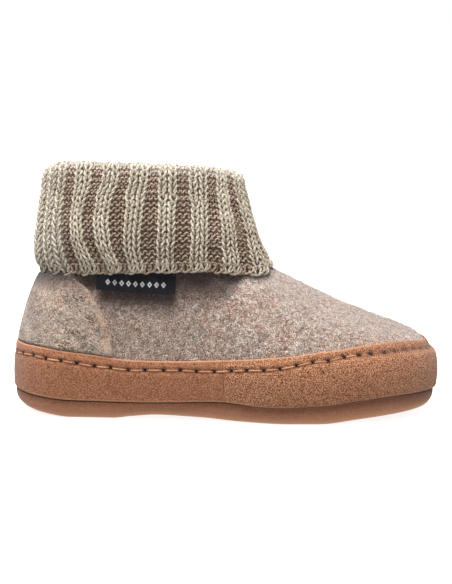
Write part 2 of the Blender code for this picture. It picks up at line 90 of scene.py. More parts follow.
RAND_TOP = {
    "place": (0.00, 0.13, 0.19, 0.24, 0.275, 0.30, 0.34, 0.41, 0.505, 0.555, 0.60, 0.65, 0.70,
              0.755, 0.81, 0.88, 1.00),
    "z": (30.3, 30.0, 28.9, 27.8, 26.8, 26.0, 25.45, 25.55, 26.5, 27.2, 28.1, 28.8, 30.2,
          31.0, 32.1, 32.7, 31.4),
}
SOLE_EDGE = {
    "place": (0.00, 0.12, 0.80, 0.92, 1.00),
    "inset": (1.2, 1.0, 1.0, 1.7, 2.6),
    "round": (5.6, 5.0, 5.0, 5.4, 6.0),
}
SOLE_LIFT = {
    "x": (-36.2, -20.0, -8.0, 10.0, 18.0, 30.0, 48.0, 66.0, 78.0, 97.0, 115.0, 132.0, 148.2),
    "z": (3.0, 1.1, 0.0, 0.0, 0.9, 1.8, 1.2, 0.2, 0.0, 0.0, 1.5, 2.7, 3.6),
}
print("the outline is", round(TOE_X - HEEL_X, 1), "mm long")


# %% Curves through the tables
def smooth(table, key, column, at):
    """Read a table at any place, on a smooth curve that never overshoots its rows."""
    xs = np.asarray(table[key], float)
    ys = np.asarray(table[column], float)
    at = np.asarray(at, float)
    rates = np.diff(ys) / np.diff(xs)
    before, after = rates[:-1], rates[1:]
    together = np.where(before * after > 0.0, before + after, 1.0)
    inner = np.where(before * after > 0.0, 2.0 * before * after / together, 0.0)
    slopes = np.concatenate(([0.0], inner, [0.0]))
    row = np.clip(np.searchsorted(xs, at) - 1, 0, len(xs) - 2)
    width = xs[row + 1] - xs[row]
    t = np.clip((at - xs[row]) / width, 0.0, 1.0)
    start = (1 + 2 * t) * (1 - t) ** 2 * ys[row] + t * (1 - t) ** 2 * width * slopes[row]
    end = t * t * (3 - 2 * t) * ys[row + 1] - t * t * (1 - t) * width * slopes[row + 1]
    return start + end


def ease(low, high, value):
    """0 below low, 1 above high, and a soft step between them."""
    t = np.clip((np.asarray(value, float) - low) / (high - low), 0.0, 1.0)
    return t * t * (3 - 2 * t)


def unit(vectors):
    """Vectors of length one."""
    return vectors / np.maximum(np.linalg.norm(vectors, axis=-1, keepdims=True), 1e-12)


def rounded(distance, reach):
    """A quarter round from 0 at an edge to 1 inside it."""
    return np.sqrt(np.clip(1 - (1 - np.clip(distance / reach, 0, 1)) ** 2, 0, 1))


toe_top, toe_low = (smooth(table, "place", "z", 1.0) for table in (RAND_TOP, RAND_LOW))
print("rand height at the toe:", round(float(toe_top - toe_low), 1), "mm")

# %% [markdown]
# ## The felt's form
#
# One number walks around the shoe: `around` is 0 at the back of the heel and 1 at the tip of
# the toe, outer side first, and it reaches 2 back at the heel. A second number, `rise`, climbs
# from the foot of the wall to the collar. Each vertical strip is one Bezier curve with five
# pull points, which is how a pattern maker thinks of a side wall: foot, wall, shoulder, instep,
# collar. Everything that lies on the felt, such as the rand, the counter and the tab, is the
# same form moved outwards, so the pieces follow each other exactly.


# %% Outline of the shoe
def plan_half_width(x):
    """Half width of the rand's outline, with the round heel and toe."""
    heel = np.clip((HEEL_X + HEEL_ROUND - x) / HEEL_ROUND, 0.0, 1.0)
    toe = np.clip((x - TOE_X + TOE_ROUND) / TOE_ROUND, 0.0, 1.0)
    heel_end = (1 - heel ** HEEL_POWER) ** (1 / HEEL_POWER)
    toe_end = (1 - toe ** TOE_POWER) ** (1 / TOE_POWER)
    return smooth(PLAN, "x", "half_width", x) * heel_end * toe_end


station_x = HEEL_X + (TOE_X - HEEL_X) * (1 - np.cos(np.linspace(0.0, math.pi, 2001))) / 2
station_walk = np.hypot(np.diff(station_x), np.diff(plan_half_width(station_x)))
station_place = np.concatenate(([0.0], np.cumsum(station_walk)))
HALF_GIRTH = station_place[-1]
station_place = station_place / HALF_GIRTH


def place_of(around):
    """Place from 0 at the heel to 1 at the toe."""
    around = np.mod(around, 2.0)
    return np.where(around <= 1.0, around, 2.0 - around)


def side_of(around):
    """-1 on the outer side of the foot and +1 on the inner side."""
    return np.where(np.mod(around, 2.0) <= 1.0, -1.0, 1.0)


def plan_point(around):
    """A point of the rand's outline."""
    x = np.interp(place_of(around), station_place, station_x)
    y = smooth(PLAN, "x", "middle_y", x) + side_of(around) * plan_half_width(x)
    return np.stack((x, y), axis=-1)


def plan_outline(around, inset):
    """The outline moved inwards by inset."""
    step = 0.004
    along = unit(plan_point(around + step) - plan_point(around - step))
    inward = np.stack((-along[..., 1], along[..., 0]), axis=-1)
    return plan_point(around) + inward * np.asarray(inset)[..., None]


def sole_lift(x):
    """Height of the outsole's underside above the floor."""
    return smooth(SOLE_LIFT, "x", "z", x)


def toe_spring(x):
    """How far the sole lifts whatever lies in front of the ball of the foot."""
    return np.where(x > BALL_X, sole_lift(x), 0.0)


def foot_z(place):
    """Height of the felt's lower edge."""
    return FOOT_Z + toe_spring(np.interp(place, station_place, station_x))


def rand_low(around):
    """Height of the rand's lower edge."""
    return smooth(RAND_LOW, "place", "z", place_of(around))


def rand_top(around):
    """Height of the rand's upper edge."""
    return smooth(RAND_TOP, "place", "z", place_of(around))


print("half of the outline is", round(HALF_GIRTH, 1), "mm long")


# %% Felt surface and the forms around it
def oval(degrees, back_x, front_x, half_width):
    """Point of an oval, 180 degrees at the back, on the outer side up to 0 in front."""
    angle = np.radians(degrees)
    c, s = np.cos(angle), np.sin(angle)
    reach = np.sign(c) * np.abs(c) ** (2 / OVAL_POWER)
    spread = np.sign(s) * np.abs(s) ** (2 / OVAL_POWER)
    x = (back_x + front_x) / 2 + (front_x - back_x) / 2 * reach
    return np.stack((x, -half_width * spread), axis=-1)


def collar_oval(degrees):
    """Outside of the felt's top edge."""
    back = COLLAR_MIDDLE_X - COLLAR_HALF_LENGTH
    front = COLLAR_MIDDLE_X + COLLAR_HALF_LENGTH
    return oval(degrees, back, front, COLLAR_HALF_WIDTH)


def felt_surface(around, rise):
    """Outside of the felt: rise runs from 0 at its foot to 1 at the collar."""
    around, rise = np.broadcast_arrays(np.asarray(around, float), np.asarray(rise, float))
    place = place_of(around)
    row = {name: smooth(PROFILE, "place", name, place) for name in PROFILE if name != "place"}
    inset = RAND + GAP + row["tuck"]
    foot = plan_outline(around, inset)
    wall = plan_outline(around, inset - row["wall_out"])
    collar = collar_oval(row["collar_angle"] * -side_of(around))
    shoulder = foot + (collar - foot) * row["shoulder_part"][..., None]
    instep = foot + (collar - foot) * row["instep_part"][..., None]
    heights = (foot_z(place), row["wall_z"], row["shoulder_z"], row["instep_z"], row["collar_z"])
    total = np.zeros(around.shape + (3,))
    for number, (plan, z) in enumerate(zip((foot, wall, shoulder, instep, collar), heights)):
        weight = math.comb(4, number) * rise ** number * (1 - rise) ** (4 - number)
        total[..., :2] += plan * weight[..., None]
        total[..., 2] += z * weight
    return total


def felt_normal(around, rise):
    """Direction straight out of the felt."""
    step = 0.004
    across = felt_surface(around + step, rise) - felt_surface(around - step, rise)
    up = felt_surface(around, rise + step) - felt_surface(around, rise - step)
    return unit(np.cross(across, up))


def felt_form(around, rise, out):
    """The felt's outside moved outwards by out, square to the surface."""
    normal = felt_normal(around, rise)
    return felt_surface(around, rise) + normal * np.asarray(out)[..., None]


print("ridge of the vamp at half rise:", felt_surface(1.0, 0.5).round(1))

# %% From a height back to a rise
PLACES_PER_HALF, LEVEL_STEP = 440.0, 0.25
rise_places = np.arange(-2, 884) / PLACES_PER_HALF
rise_steps = np.linspace(-0.15, 1.0, 231)
rise_levels = np.arange(0.0, 68.0, LEVEL_STEP)
level_grid = felt_surface(rise_places[:, None], rise_steps[None, :])[..., 2]
rise_table = np.array([np.interp(rise_levels, heights, rise_steps) for heights in level_grid])


def rise_at_height(around, z):
    """The rise at which the felt's outside reaches a height, read from a table."""
    around, z = np.broadcast_arrays(np.asarray(around, float), np.asarray(z, float))
    u = (np.mod(around, 2.0) - rise_places[0]) * PLACES_PER_HALF
    v = np.clip(z / LEVEL_STEP, 0.0, len(rise_levels) - 1.001)
    i, j = u.astype(int), v.astype(int)
    s, t = u - i, v - j
    low = rise_table[i, j] * (1 - s) + rise_table[i + 1, j] * s
    high = rise_table[i, j + 1] * (1 - s) + rise_table[i + 1, j + 1] * s
    return low * (1 - t) + high * t


def place_for_x(x, rise, side, tries=np.linspace(0.0, 0.6, 61)):
    """Places where the felt has given x at given rises; side is 1 outside and -1 inside."""
    xs = felt_surface(side * tries, rise.reshape(-1, 1))[..., 0]
    found = [np.interp(value, row, tries) for value, row in zip(x.ravel(), xs)]
    return np.array(found).reshape(x.shape)


print("40 mm up at the heel the rise is", rise_at_height(0.0, 40.0).round(2))

# %% [markdown]
# ## Three small mesh tools
#
# Blender can loft, sweep and scatter with modifiers, but a repeatable lesson needs the same
# vertices on every run. So three helpers write meshes straight from arrays: a grid of points
# becomes a surface, a list of paths becomes a bundle of yarn-like tubes, and roots with
# directions become a nap of loose fibres. The tubes also get a UV map that runs along the
# yarn, so that a material can twist its plies.


# %% Meshes from arrays
NO_TRIANGLES = np.zeros((0, 3), np.int32)


def make_piece(name, points, quads, material, slot_name, triangles=NO_TRIANGLES, uvs=None,
               marks=None):
    """A mesh object from points in millimetres and faces of indices, riding on the shoe.

    Marks are values on the first points, and the rest of the points have 0.
    """
    points = np.ascontiguousarray(np.asarray(points, float).reshape(-1, 3) * MM, np.float32)
    corners = np.concatenate((quads.ravel(), triangles.ravel())).astype(np.int32)
    after_quads = quads.size + np.arange(len(triangles)) * 3
    starts = np.concatenate((np.arange(len(quads)) * 4, after_quads))
    mesh = bpy.data.meshes.new(name)
    mesh.vertices.add(len(points))
    mesh.vertices.foreach_set("co", points.ravel())
    mesh.loops.add(len(corners))
    mesh.loops.foreach_set("vertex_index", corners)
    mesh.polygons.add(len(starts))
    mesh.polygons.foreach_set("loop_start", starts.astype(np.int32))
    mesh.polygons.foreach_set("use_smooth", np.ones(len(starts), bool))
    if uvs is not None:
        layer = mesh.uv_layers.new(name="UVMap")
        layer.data.foreach_set("uv", np.ascontiguousarray(uvs, np.float32).ravel())
    mesh.update(calc_edges=True)
    for mark, values in (marks or {}).items():
        spread = np.zeros(len(points), np.float32)
        spread[: values.size] = values.ravel()
        mesh.attributes.new(mark, "FLOAT", "POINT").data.foreach_set("value", spread)
    mesh.materials.append(material)
    piece = bpy.data.objects.new(name, mesh)
    bpy.context.scene.collection.objects.link(piece)
    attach(piece, "root")
    print(f"{name}: {2 * len(quads) + len(triangles)} triangles")
    return piece


def grid_quads(rows, columns, wrap_rows=False, wrap_columns=False):
    """Quads of a grid of points, row by row."""
    r = np.arange(rows if wrap_rows else rows - 1)[:, None]
    c = np.arange(columns if wrap_columns else columns - 1)[None, :]
    below, right = (r + 1) % rows, (c + 1) % columns
    corners = (r * columns + c, r * columns + right, below * columns + right, below * columns + c)
    return np.stack([np.broadcast_to(x, (r.size, c.size)) for x in corners], -1).reshape(-1, 4)


def lumps(points, size, seed):
    """Soft noise between about -1 and 1 at points in millimetres, with lumps of a given size."""
    shape = points.shape[:-1]
    flat = points.reshape(-1, 3) / size + np.array((seed * 17.3, seed * 5.1, seed * 9.7))
    return np.array([noise.noise(Vector(p)) for p in flat]).reshape(shape)


print("a grid of 3 by 4 points has", len(grid_quads(3, 4)), "quads")


# %% Tubes for yarn and thread
def make_tubes(paths, outward, radius, sides):
    """Points, quads and UVs of round tubes along paths of shape (tubes, points, 3)."""
    along = unit(np.gradient(paths, axis=1))
    across = unit(np.cross(along, outward))
    up = np.cross(across, along)
    turn = np.arange(sides) * 2 * math.pi / sides
    ring = np.cos(turn)[:, None] * across[:, :, None, :] + np.sin(turn)[:, None] * up[:, :, None, :]
    radius = np.broadcast_to(radius, paths.shape[:2])
    points = paths[:, :, None, :] + ring * radius[:, :, None, None]
    tubes, steps = paths.shape[:2]
    one = grid_quads(steps, sides, wrap_columns=True)
    quads = (one[None] + (np.arange(tubes) * steps * sides)[:, None, None]).reshape(-1, 4)
    walked = np.linalg.norm(np.diff(paths, axis=1), axis=2).cumsum(axis=1)
    walked = np.concatenate((np.zeros((tubes, 1)), walked), axis=1)
    side = np.arange(sides)
    low, high = walked[:, :-1, None], walked[:, 1:, None]
    start = np.broadcast_to(side / sides, (tubes, steps - 1, sides))
    stop = np.broadcast_to((side + 1) / sides, (tubes, steps - 1, sides))
    low, high = np.broadcast_to(low, start.shape), np.broadcast_to(high, start.shape)
    corners = ((low, start), (low, stop), (high, stop), (high, start))
    uvs = np.stack([np.stack(corner, axis=-1) for corner in corners], axis=-2)
    return points.reshape(-1, 3), quads, uvs.reshape(-1, 2)


straight = np.array([[(0.0, 0.0, 0.0), (1.0, 0.0, 0.0), (2.0, 0.0, 0.0)]])
short_tube = make_tubes(straight, np.array((0.0, 0.0, 1.0)), 0.5, 6)
print("a tube with six sides through three points has", len(short_tube[1]), "quads")


# %% Loose fibres
def make_fibres(roots, normals, lengths, lift, width, rng):
    """Ribbons with a pointed end that leave a surface at random; lift is in degrees."""
    count = len(roots)
    swirl = rng.normal(size=(count, 3))
    flat = unit(swirl - normals * np.sum(swirl * normals, axis=1, keepdims=True))
    side = np.cross(normals, flat)
    tilt = np.radians(rng.uniform(*lift, count))[:, None]
    head = flat * np.cos(tilt) + normals * np.sin(tilt)
    curl = side * rng.normal(0.0, 0.5, (count, 1)) - normals * rng.uniform(0.1, 0.6, (count, 1))
    steps = np.array((0.0, 0.5, 1.0))
    reach = lengths[:, None, None] * steps[None, :, None]
    spine = roots[:, None, :] + reach * head[:, None, :]
    spine = spine + reach * steps[None, :, None] * curl[:, None, :]
    taper = np.array((1.0, 0.8, 0.05)) * width / 2
    edge = side[:, None, :] * taper[None, :, None]
    points = np.stack((spine - edge, spine + edge), axis=2)
    one = grid_quads(3, 2)
    quads = (one[None] + (np.arange(count) * 6)[:, None, None]).reshape(-1, 4)
    return points.reshape(-1, 3), quads


def scatter(points, normals, count, rng, keep=None):
    """Random spots of a grid of points, even over its area, with their normals."""
    a, b, c, d = points[:-1, :-1], points[:-1, 1:], points[1:, 1:], points[1:, :-1]
    area = np.linalg.norm(np.cross(c - a, d - b), axis=-1)
    if keep is not None:
        area = area * (keep[:-1, :-1] & keep[1:, 1:] & keep[:-1, 1:] & keep[1:, :-1])
    chosen = rng.choice(area.size, count, p=(area / area.sum()).ravel())
    r, q = np.unravel_index(chosen, area.shape)
    s, t = rng.random((2, count, 1))

    def blend(grid):
        low = grid[r, q] * (1 - t) + grid[r, q + 1] * t
        high = grid[r + 1, q] * (1 - t) + grid[r + 1, q + 1] * t
        return low * (1 - s) + high * s

    return blend(points), unit(blend(normals))


print("a fibre has", 2 * len(grid_quads(3, 2)), "triangles")

# %% [markdown]
# ## Camera, floor and light
#
# The picture was taken from a little above the ankle and slightly from the toe's side, with a
# long lens, so the shoe shows hardly any perspective. The camera is set from that reading:
# its distance, its height and its tilt in real units. The light is a plain studio: a white
# floor and surround, one large soft lamp overhead and a weaker one beside the camera. Both
# are far lamps, so that the floor is even. The floor glows faintly, which makes it as white
# as a photographer's paper, and it is left out of the bounced light, which would otherwise
# wash out the shade under the sole.

# %% Camera
CAMERA_TURN = math.radians(4.5)
CAMERA_TILT = math.radians(7.455)
CAMERA_AIM_X, CAMERA_DISTANCE, CAMERA_HEIGHT = 56.3, 779.0, 153.0
FOCAL_PIXELS, LONG_SIDE_PIXELS, SENSOR = 1824.0, 584.0, 36.0

camera_data = bpy.data.cameras.new("camera")
camera_data.sensor_width = SENSOR
camera_data.lens = FOCAL_PIXELS / LONG_SIDE_PIXELS * SENSOR
camera_data.clip_start = 0.05
camera = bpy.data.objects.new("camera", camera_data)
bpy.context.scene.collection.objects.link(camera)
camera.location = Vector((
    CAMERA_AIM_X + CAMERA_DISTANCE * math.sin(CAMERA_TURN),
    -CAMERA_DISTANCE * math.cos(CAMERA_TURN),
    CAMERA_HEIGHT,
)) * MM
camera.rotation_euler = (math.pi / 2 - CAMERA_TILT, 0.0, CAMERA_TURN)
bpy.context.scene.camera = camera
print("lens", round(camera_data.lens, 1), "mm")


# %% Colours and plain materials
def linear(red, green, blue):
    """A colour given as 0 to 255, as seen on a screen, in Blender's linear values."""
    def channel(value):
        value = value / 255
        return value / 12.92 if value <= 0.04045 else ((value + 0.055) / 1.055) ** 2.4

    return (channel(red), channel(green), channel(blue), 1.0)


def shades(*rows):
    """Stops of a ramp, from rows of a position and a colour as linear takes it."""
    return [(position, linear(*colour)) for position, *colour in rows]


def new_material(name, roughness, sheen=0.0, sheen_roughness=0.5, specular=0.2):
    """A material with a Principled shader, and its tree and shader."""
    material = bpy.data.materials.new(name)
    material.use_nodes = True
    shader = material.node_tree.nodes["Principled BSDF"]
    shader.inputs["Roughness"].default_value = roughness
    shader.inputs["Sheen Weight"].default_value = sheen
    shader.inputs["Sheen Roughness"].default_value = sheen_roughness
    shader.inputs["Specular IOR Level"].default_value = specular
    return material, material.node_tree, shader


print("middle grey in linear values:", round(linear(128, 128, 128)[0], 3))


# %% Nodes of a material
def set_inputs(tree, sockets, values):
    """Give each socket its value, or link it to another node's output."""
    for socket, value in zip(sockets, values):
        if isinstance(value, bpy.types.NodeSocket):
            tree.links.new(value, socket)
        else:
            socket.default_value = value


def add_node(tree, kind, inputs=None, **settings):
    """A node with its settings, whose inputs take a value or another node's output."""
    made = tree.nodes.new(kind)
    for name, value in settings.items():
        setattr(made, name, value)
    inputs = inputs or {}
    set_inputs(tree, [made.inputs[name] for name in inputs], inputs.values())
    return made


def add_noise(tree, size, detail=3.0, rough=0.55, vector=None, distortion=0.0):
    """Noise with lumps of a size in millimetres, over the object's own coordinates."""
    if vector is None:
        vector = add_node(tree, "ShaderNodeTexCoord").outputs["Object"]
    inputs = {"Vector": vector, "Scale": 1 / (size * MM), "Detail": detail,
              "Roughness": rough, "Distortion": distortion}
    return add_node(tree, "ShaderNodeTexNoise", inputs).outputs["Fac"]


def add_ramp(tree, factor, stops):
    """A colour ramp; stops are pairs of a position and a colour."""
    made = add_node(tree, "ShaderNodeValToRGB", {"Fac": factor})
    elements = made.color_ramp.elements
    while len(elements) < len(stops):
        elements.new(0.5)
    for element, (position, colour) in zip(elements, stops):
        element.position = position
        element.color = colour
    return made.outputs["Color"]


def add_mix(tree, factor, first, second, blend_type="MIX"):
    """A mix of two colours."""
    made = add_node(tree, "ShaderNodeMix", data_type="RGBA", blend_type=blend_type)
    set_inputs(tree, [made.inputs[number] for number in (0, 6, 7)], (factor, first, second))
    return made.outputs[2]


def add_math(tree, operation, *values):
    """One step of arithmetic on numbers or sockets."""
    made = add_node(tree, "ShaderNodeMath", operation=operation)
    set_inputs(tree, made.inputs, values)
    return made.outputs[0]


def add_sum(tree, *parts):
    """A weighted sum; parts are pairs of a socket and its share."""
    total = None
    for socket, share in parts:
        term = add_math(tree, "MULTIPLY", socket, share)
        total = term if total is None else add_math(tree, "ADD", total, term)
    return total


def add_range(tree, value, low, high, most=1.0):
    """0 where a value is at low, most where it is at high, and a straight line between."""
    inputs = {"Value": value, "From Min": low, "From Max": high, "To Max": most}
    return add_node(tree, "ShaderNodeMapRange", inputs).outputs["Result"]


def read_mark(tree, mark):
    """A value kept on the mesh's points."""
    return add_node(tree, "ShaderNodeAttribute", attribute_name=mark).outputs["Fac"]


def finish_shader(tree, shader, colour, layers=()):
    """Set the colour, and a bump from pairs of a height socket and a depth in mm."""
    tree.links.new(colour, shader.inputs["Base Color"])
    normal = None
    for height, depth in layers:
        inputs = {"Height": height, "Distance": depth * MM, "Strength": 1.0}
        if normal is not None:
            inputs["Normal"] = normal
        normal = add_node(tree, "ShaderNodeBump", inputs).outputs["Normal"]
    if normal is not None:
        tree.links.new(normal, shader.inputs["Normal"])


PATTERN_TOOLS = (add_noise, add_ramp, add_mix, add_math, add_sum, add_range, read_mark)
print(len(PATTERN_TOOLS), "small tools build every pattern below")

# %% Floor, surround and lamps
FLOOR_HALF = 3.0
floor_mesh = bpy.data.meshes.new("floor")
floor_corners = [(-FLOOR_HALF, -FLOOR_HALF, 0), (FLOOR_HALF, -FLOOR_HALF, 0),
                 (FLOOR_HALF, FLOOR_HALF, 0), (-FLOOR_HALF, FLOOR_HALF, 0)]
floor_mesh.from_pydata(floor_corners, [], [(0, 1, 2, 3)])
floor = bpy.data.objects.new("floor", floor_mesh)
floor.location.z = -0.0002
bpy.context.scene.collection.objects.link(floor)
floor_material, floor_tree, floor_shader = new_material("floor_white", 0.9)
paper = add_ramp(floor_tree, add_noise(floor_tree, 300.0),
                 shades((0.3, 206, 206, 206), (0.7, 209, 209, 209)))
finish_shader(floor_tree, floor_shader, paper)
floor_shader.inputs["Emission Color"].default_value = (1.0, 1.0, 1.0, 1.0)
floor_shader.inputs["Emission Strength"].default_value = 0.85
floor_mesh.materials.append(floor_material)
floor.visible_diffuse = False

# Dark below, white at the horizon, behind the shoe, and a softer grey higher up
GROUND_LIGHT, HORIZON_LIGHT, ZENITH_LIGHT = 0.55, 1.0, 0.28
world = bpy.data.worlds.new("studio")
world.use_nodes = True
sky = world.node_tree
direction = add_node(sky, "ShaderNodeTexCoord").outputs["Generated"]
height = add_node(sky, "ShaderNodeSeparateXYZ", {"Vector": direction}).outputs["Z"]
level = add_math(sky, "ADD", add_math(sky, "MULTIPLY", height, 0.5), 0.5)
sky_colour = add_ramp(sky, level, [(place, (light,) * 3 + (1.0,)) for place, light in (
    (0.44, GROUND_LIGHT), (0.475, HORIZON_LIGHT), (0.545, HORIZON_LIGHT), (0.59, ZENITH_LIGHT))])
sky.links.new(sky_colour, sky.nodes["Background"].inputs["Color"])
bpy.context.scene.world = world
bpy.context.scene.view_settings.view_transform = "Standard"


def add_lamp(name, towards, softness, strength):
    """A far soft lamp: where it stands as a direction, its width in degrees and its strength."""
    lamp_data = bpy.data.lights.new(name, "SUN")
    lamp_data.angle = math.radians(softness)
    lamp_data.energy = strength
    lamp = bpy.data.objects.new(name, lamp_data)
    lamp.rotation_euler = Vector(towards).to_track_quat("Z", "Y").to_euler()
    bpy.context.scene.collection.objects.link(lamp)


add_lamp("overhead", (-0.10, -0.28, 1.0), 46.0, 5.2)
add_lamp("front", (0.45, -1.0, 0.5), 60.0, 0.15)

# %% [markdown]
# ## Felt
#
# The upper is thick wool felt, made of several dyed wools carded together: taupe, cream, grey,
# and a little rust. Close up it is a mat of short fibres, so the colour changes at three
# scales: clouds of a finger's width, clumps of a few millimetres, and single fibres. A picture
# of felt could be wrapped around the form, but noise in object space needs no seams and works
# from every side. The wall itself gets soft lumps in its mesh, and then real loose fibres,
# because a fuzzy outline is what tells the eye that this is wool.

# %% Felt material
RUST, SLATE, CREAM = linear(182, 122, 92), linear(132, 130, 134), linear(224, 208, 188)
MOSS, PLUM = linear(142, 132, 104), linear(152, 110, 102)
FLECKS = [
    # colour, size in mm, noise level where it starts, strength, way of mixing
    (RUST, 5.5, 0.50, 0.48, "SOFT_LIGHT"),
    (SLATE, 4.8, 0.52, 0.44, "SOFT_LIGHT"),
    (MOSS, 6.5, 0.54, 0.46, "SOFT_LIGHT"),
    (PLUM, 3.6, 0.54, 0.38, "SOFT_LIGHT"),
    (CREAM, 2.2, 0.56, 0.32, "MIX"),
    (RUST, 1.9, 0.57, 0.34, "MIX"),
]
PRESSED_SLANT = (0.0, math.radians(-26), 0.0)


def stretched(tree, place, scale):
    """A place in which noise is drawn out along the first axis."""
    inputs = {"Vector": place, "Scale": (scale, 1.0, 1.0)}
    return add_node(tree, "ShaderNodeMapping", inputs).outputs[0]


def felt_material(name, cloud, grain, grain_part, bump, clump_part=0.3, fibre_size=0.46,
                  sheen=0.62, pressed=False, shaded=True):
    """Wool felt: clouds, clumps, single fibres and soft coloured tufts."""
    material, tree, shader = new_material(name, 0.95, sheen, sheen_roughness=0.55, specular=0.1)
    place = add_node(tree, "ShaderNodeTexCoord").outputs["Object"]
    clouds = add_ramp(tree, add_noise(tree, 7.0, 2.0, vector=place), cloud)
    fibre_place = place
    if pressed:
        slanted = {"Vector": place, "Rotation": PRESSED_SLANT}
        turned = add_node(tree, "ShaderNodeMapping", slanted).outputs[0]
        fibre_place = stretched(tree, turned, 0.5)
    fibres = add_noise(tree, fibre_size, 2.0, 0.6, vector=fibre_place, distortion=0.3)
    clumps = add_noise(tree, 1.5, 3.0, 0.6, vector=place, distortion=0.5)
    mixed = add_sum(tree, (fibres, 1 - clump_part), (clumps, clump_part))
    colour = add_mix(tree, grain_part, clouds, add_ramp(tree, mixed, grain))
    for number, (tint, size, edge, most, way) in enumerate(FLECKS):
        offset = {0: place, 1: (0.31 * number + 0.2, 0.1, 0.4)}
        moved = add_node(tree, "ShaderNodeVectorMath", offset, operation="ADD").outputs[0]
        spots = add_noise(tree, size, 3.0, 0.6, vector=moved, distortion=0.5)
        mask = add_range(tree, spots, edge - 0.06, edge + 0.14, most)
        colour = add_mix(tree, mask, colour, tint, way)
    if pressed:
        drawn = stretched(tree, turned, 0.14)
        streaks = add_ramp(tree, add_noise(tree, 0.50, 2.0, 0.7, vector=drawn), shades(
            (0.38, 78, 65, 57), (0.5, 158, 140, 124), (0.62, 236, 222, 204)))
        band = add_range(tree, add_noise(tree, 11.0, 1.0, vector=place), 0.46, 0.62, 0.42)
        colour = add_mix(tree, band, colour, streaks)
        soft = add_math(tree, "MULTIPLY", read_mark(tree, "ridge"), add_noise(tree, 0.9, 3.0, 0.8))
        colour = add_mix(tree, add_math(tree, "MULTIPLY", soft, 0.8), colour,
                         linear(214, 176, 148))
    if shaded:
        colour = add_mix(tree, read_mark(tree, "under_edge"), colour, linear(50, 28, 18))
    finish_shader(tree, shader, colour, [(clumps, bump * 1.4), (fibres, bump * 0.7)])
    return material


print("the felt has", len(FLECKS), "kinds of coloured tufts")

# %% Two felts
felt = felt_material(
    "wool_felt",
    shades((0.34, 128, 107, 93), (0.50, 153, 132, 119), (0.66, 183, 166, 153)),
    shades((0.38, 62, 46, 38), (0.45, 116, 96, 84), (0.50, 155, 134, 121), (0.55, 200, 185, 173),
           (0.62, 250, 243, 235)),
    grain_part=0.85, bump=0.7)
counter_felt = felt_material(
    "pressed_felt",
    shades((0.41, 74, 58, 47), (0.5, 146, 126, 110), (0.59, 224, 204, 184)),
    shades((0.43, 30, 21, 15), (0.475, 104, 84, 71), (0.51, 162, 139, 123), (0.56, 255, 238, 222)),
    grain_part=0.70, bump=0.8, clump_part=0.24, fibre_size=0.38, sheen=0.4, pressed=True)
print("felt nodes:", len(felt.node_tree.nodes))

# %% [markdown]
# ## Shade where felt goes under
#
# Just below the cuff and the tab the felt is nearly black in the photograph, and soft lamps
# give only part of that. A harder lamp would darken the whole shoe, so the felt gets a mark on
# its points instead: 1 under an edge, fading to 0 some millimetres below it. The material
# mixes a dark brown in by that mark. The shade then stays in place from every side, but it
# also stays under another light, which is the price of this way.

# %% Shade under the cuff and the tab
CUFF_LOW_Z = {
    "angle": (0.0, 10.0, 24.0, 45.0, 68.0, 125.0, 180.0),
    "z": (63.0, 62.0, 59.8, 62.2, 63.7, 62.2, 59.8),
}
TAB_X, TAB_Z = (4.4, 37.4), (54.1, 63.4)


def tab_tilt(x):
    """The woven tab hangs a little lower towards the toe."""
    along = (x - TAB_X[0]) / (TAB_X[1] - TAB_X[0])
    return 1.1 * (1 - along) ** 2 - 0.35 * along


SHADE_MOST = 0.93


def under_edge(around, points, corner=0.98):
    """1 where the felt goes under the cuff or the tab, fading out below their edges."""
    x, z = points[..., 0], points[..., 2]
    outside = side_of(around) < 0
    angle = smooth(PROFILE, "place", "collar_angle", place_of(around))
    below_cuff = smooth(CUFF_LOW_Z, "angle", "z", angle) - 0.4 - z
    far = 9.5 + 9.5 * ease(0.0, 40.0, x) - 17.0 * ease(54.0, 68.0, x)
    full = 0.08 + 0.20 * ease(24.0, 42.0, x)
    under_cuff = SHADE_MOST * ease(1.0, full, below_cuff / far)
    below_tab = TAB_Z[0] + tab_tilt(x) + 0.2 - z
    beside = ease(TAB_X[0] - 3.0, TAB_X[0] + 3.0, x) * ease(TAB_X[1] + 5.0, TAB_X[1] - 2.0, x)
    under_tab = SHADE_MOST * ease(12.0, 2.0, below_tab) * beside * outside
    behind_tab = ease(-14.0, -8.0, x) * ease(9.0, 4.0, x) * outside
    in_corner = corner * ease(11.0, 5.0, below_cuff) * behind_tab
    return np.maximum(np.maximum(under_cuff, under_tab), in_corner)


print("shade just under the tab:", under_edge(0.3, np.array((20.0, 0.0, 53.0))).round(2))


# %% Felt shell
SHELL_COLUMNS, SHELL_ROWS, LINING_ROWS = 360, 88, 24
shell_around = np.arange(SHELL_COLUMNS) * 2 / SHELL_COLUMNS
shell_rise = np.linspace(0.0, 1.0, SHELL_ROWS)
A, R = np.meshgrid(shell_around, shell_rise)
shell_points = felt_surface(A, R)
shell_normals = felt_normal(A, R)
relief = 0.35 * lumps(shell_points, 8.0, 1) + 0.22 * lumps(shell_points, 2.6, 2)
relief = relief + 0.10 * lumps(shell_points, 1.3, 3)
covered = ease(2.0, 0.0, shell_points[..., 2] - rand_top(A))
relief = relief * (1 - covered) - 0.1 * covered
shell_outside = shell_points + shell_normals * relief[..., None]
outside_shade = under_edge(A, shell_outside)
A, R = np.meshgrid(shell_around, np.linspace(1.0, 0.0, LINING_ROWS))
shell_lining = felt_form(A, R, -FELT)
shell_lining = shell_lining + felt_normal(A, R) * (0.15 * lumps(shell_lining, 4.0, 4))[..., None]
shell_lining[0, :, 2] = shell_outside[-1, :, 2]
shell_lining[-1, :, 2] = shell_outside[0, :, 2]
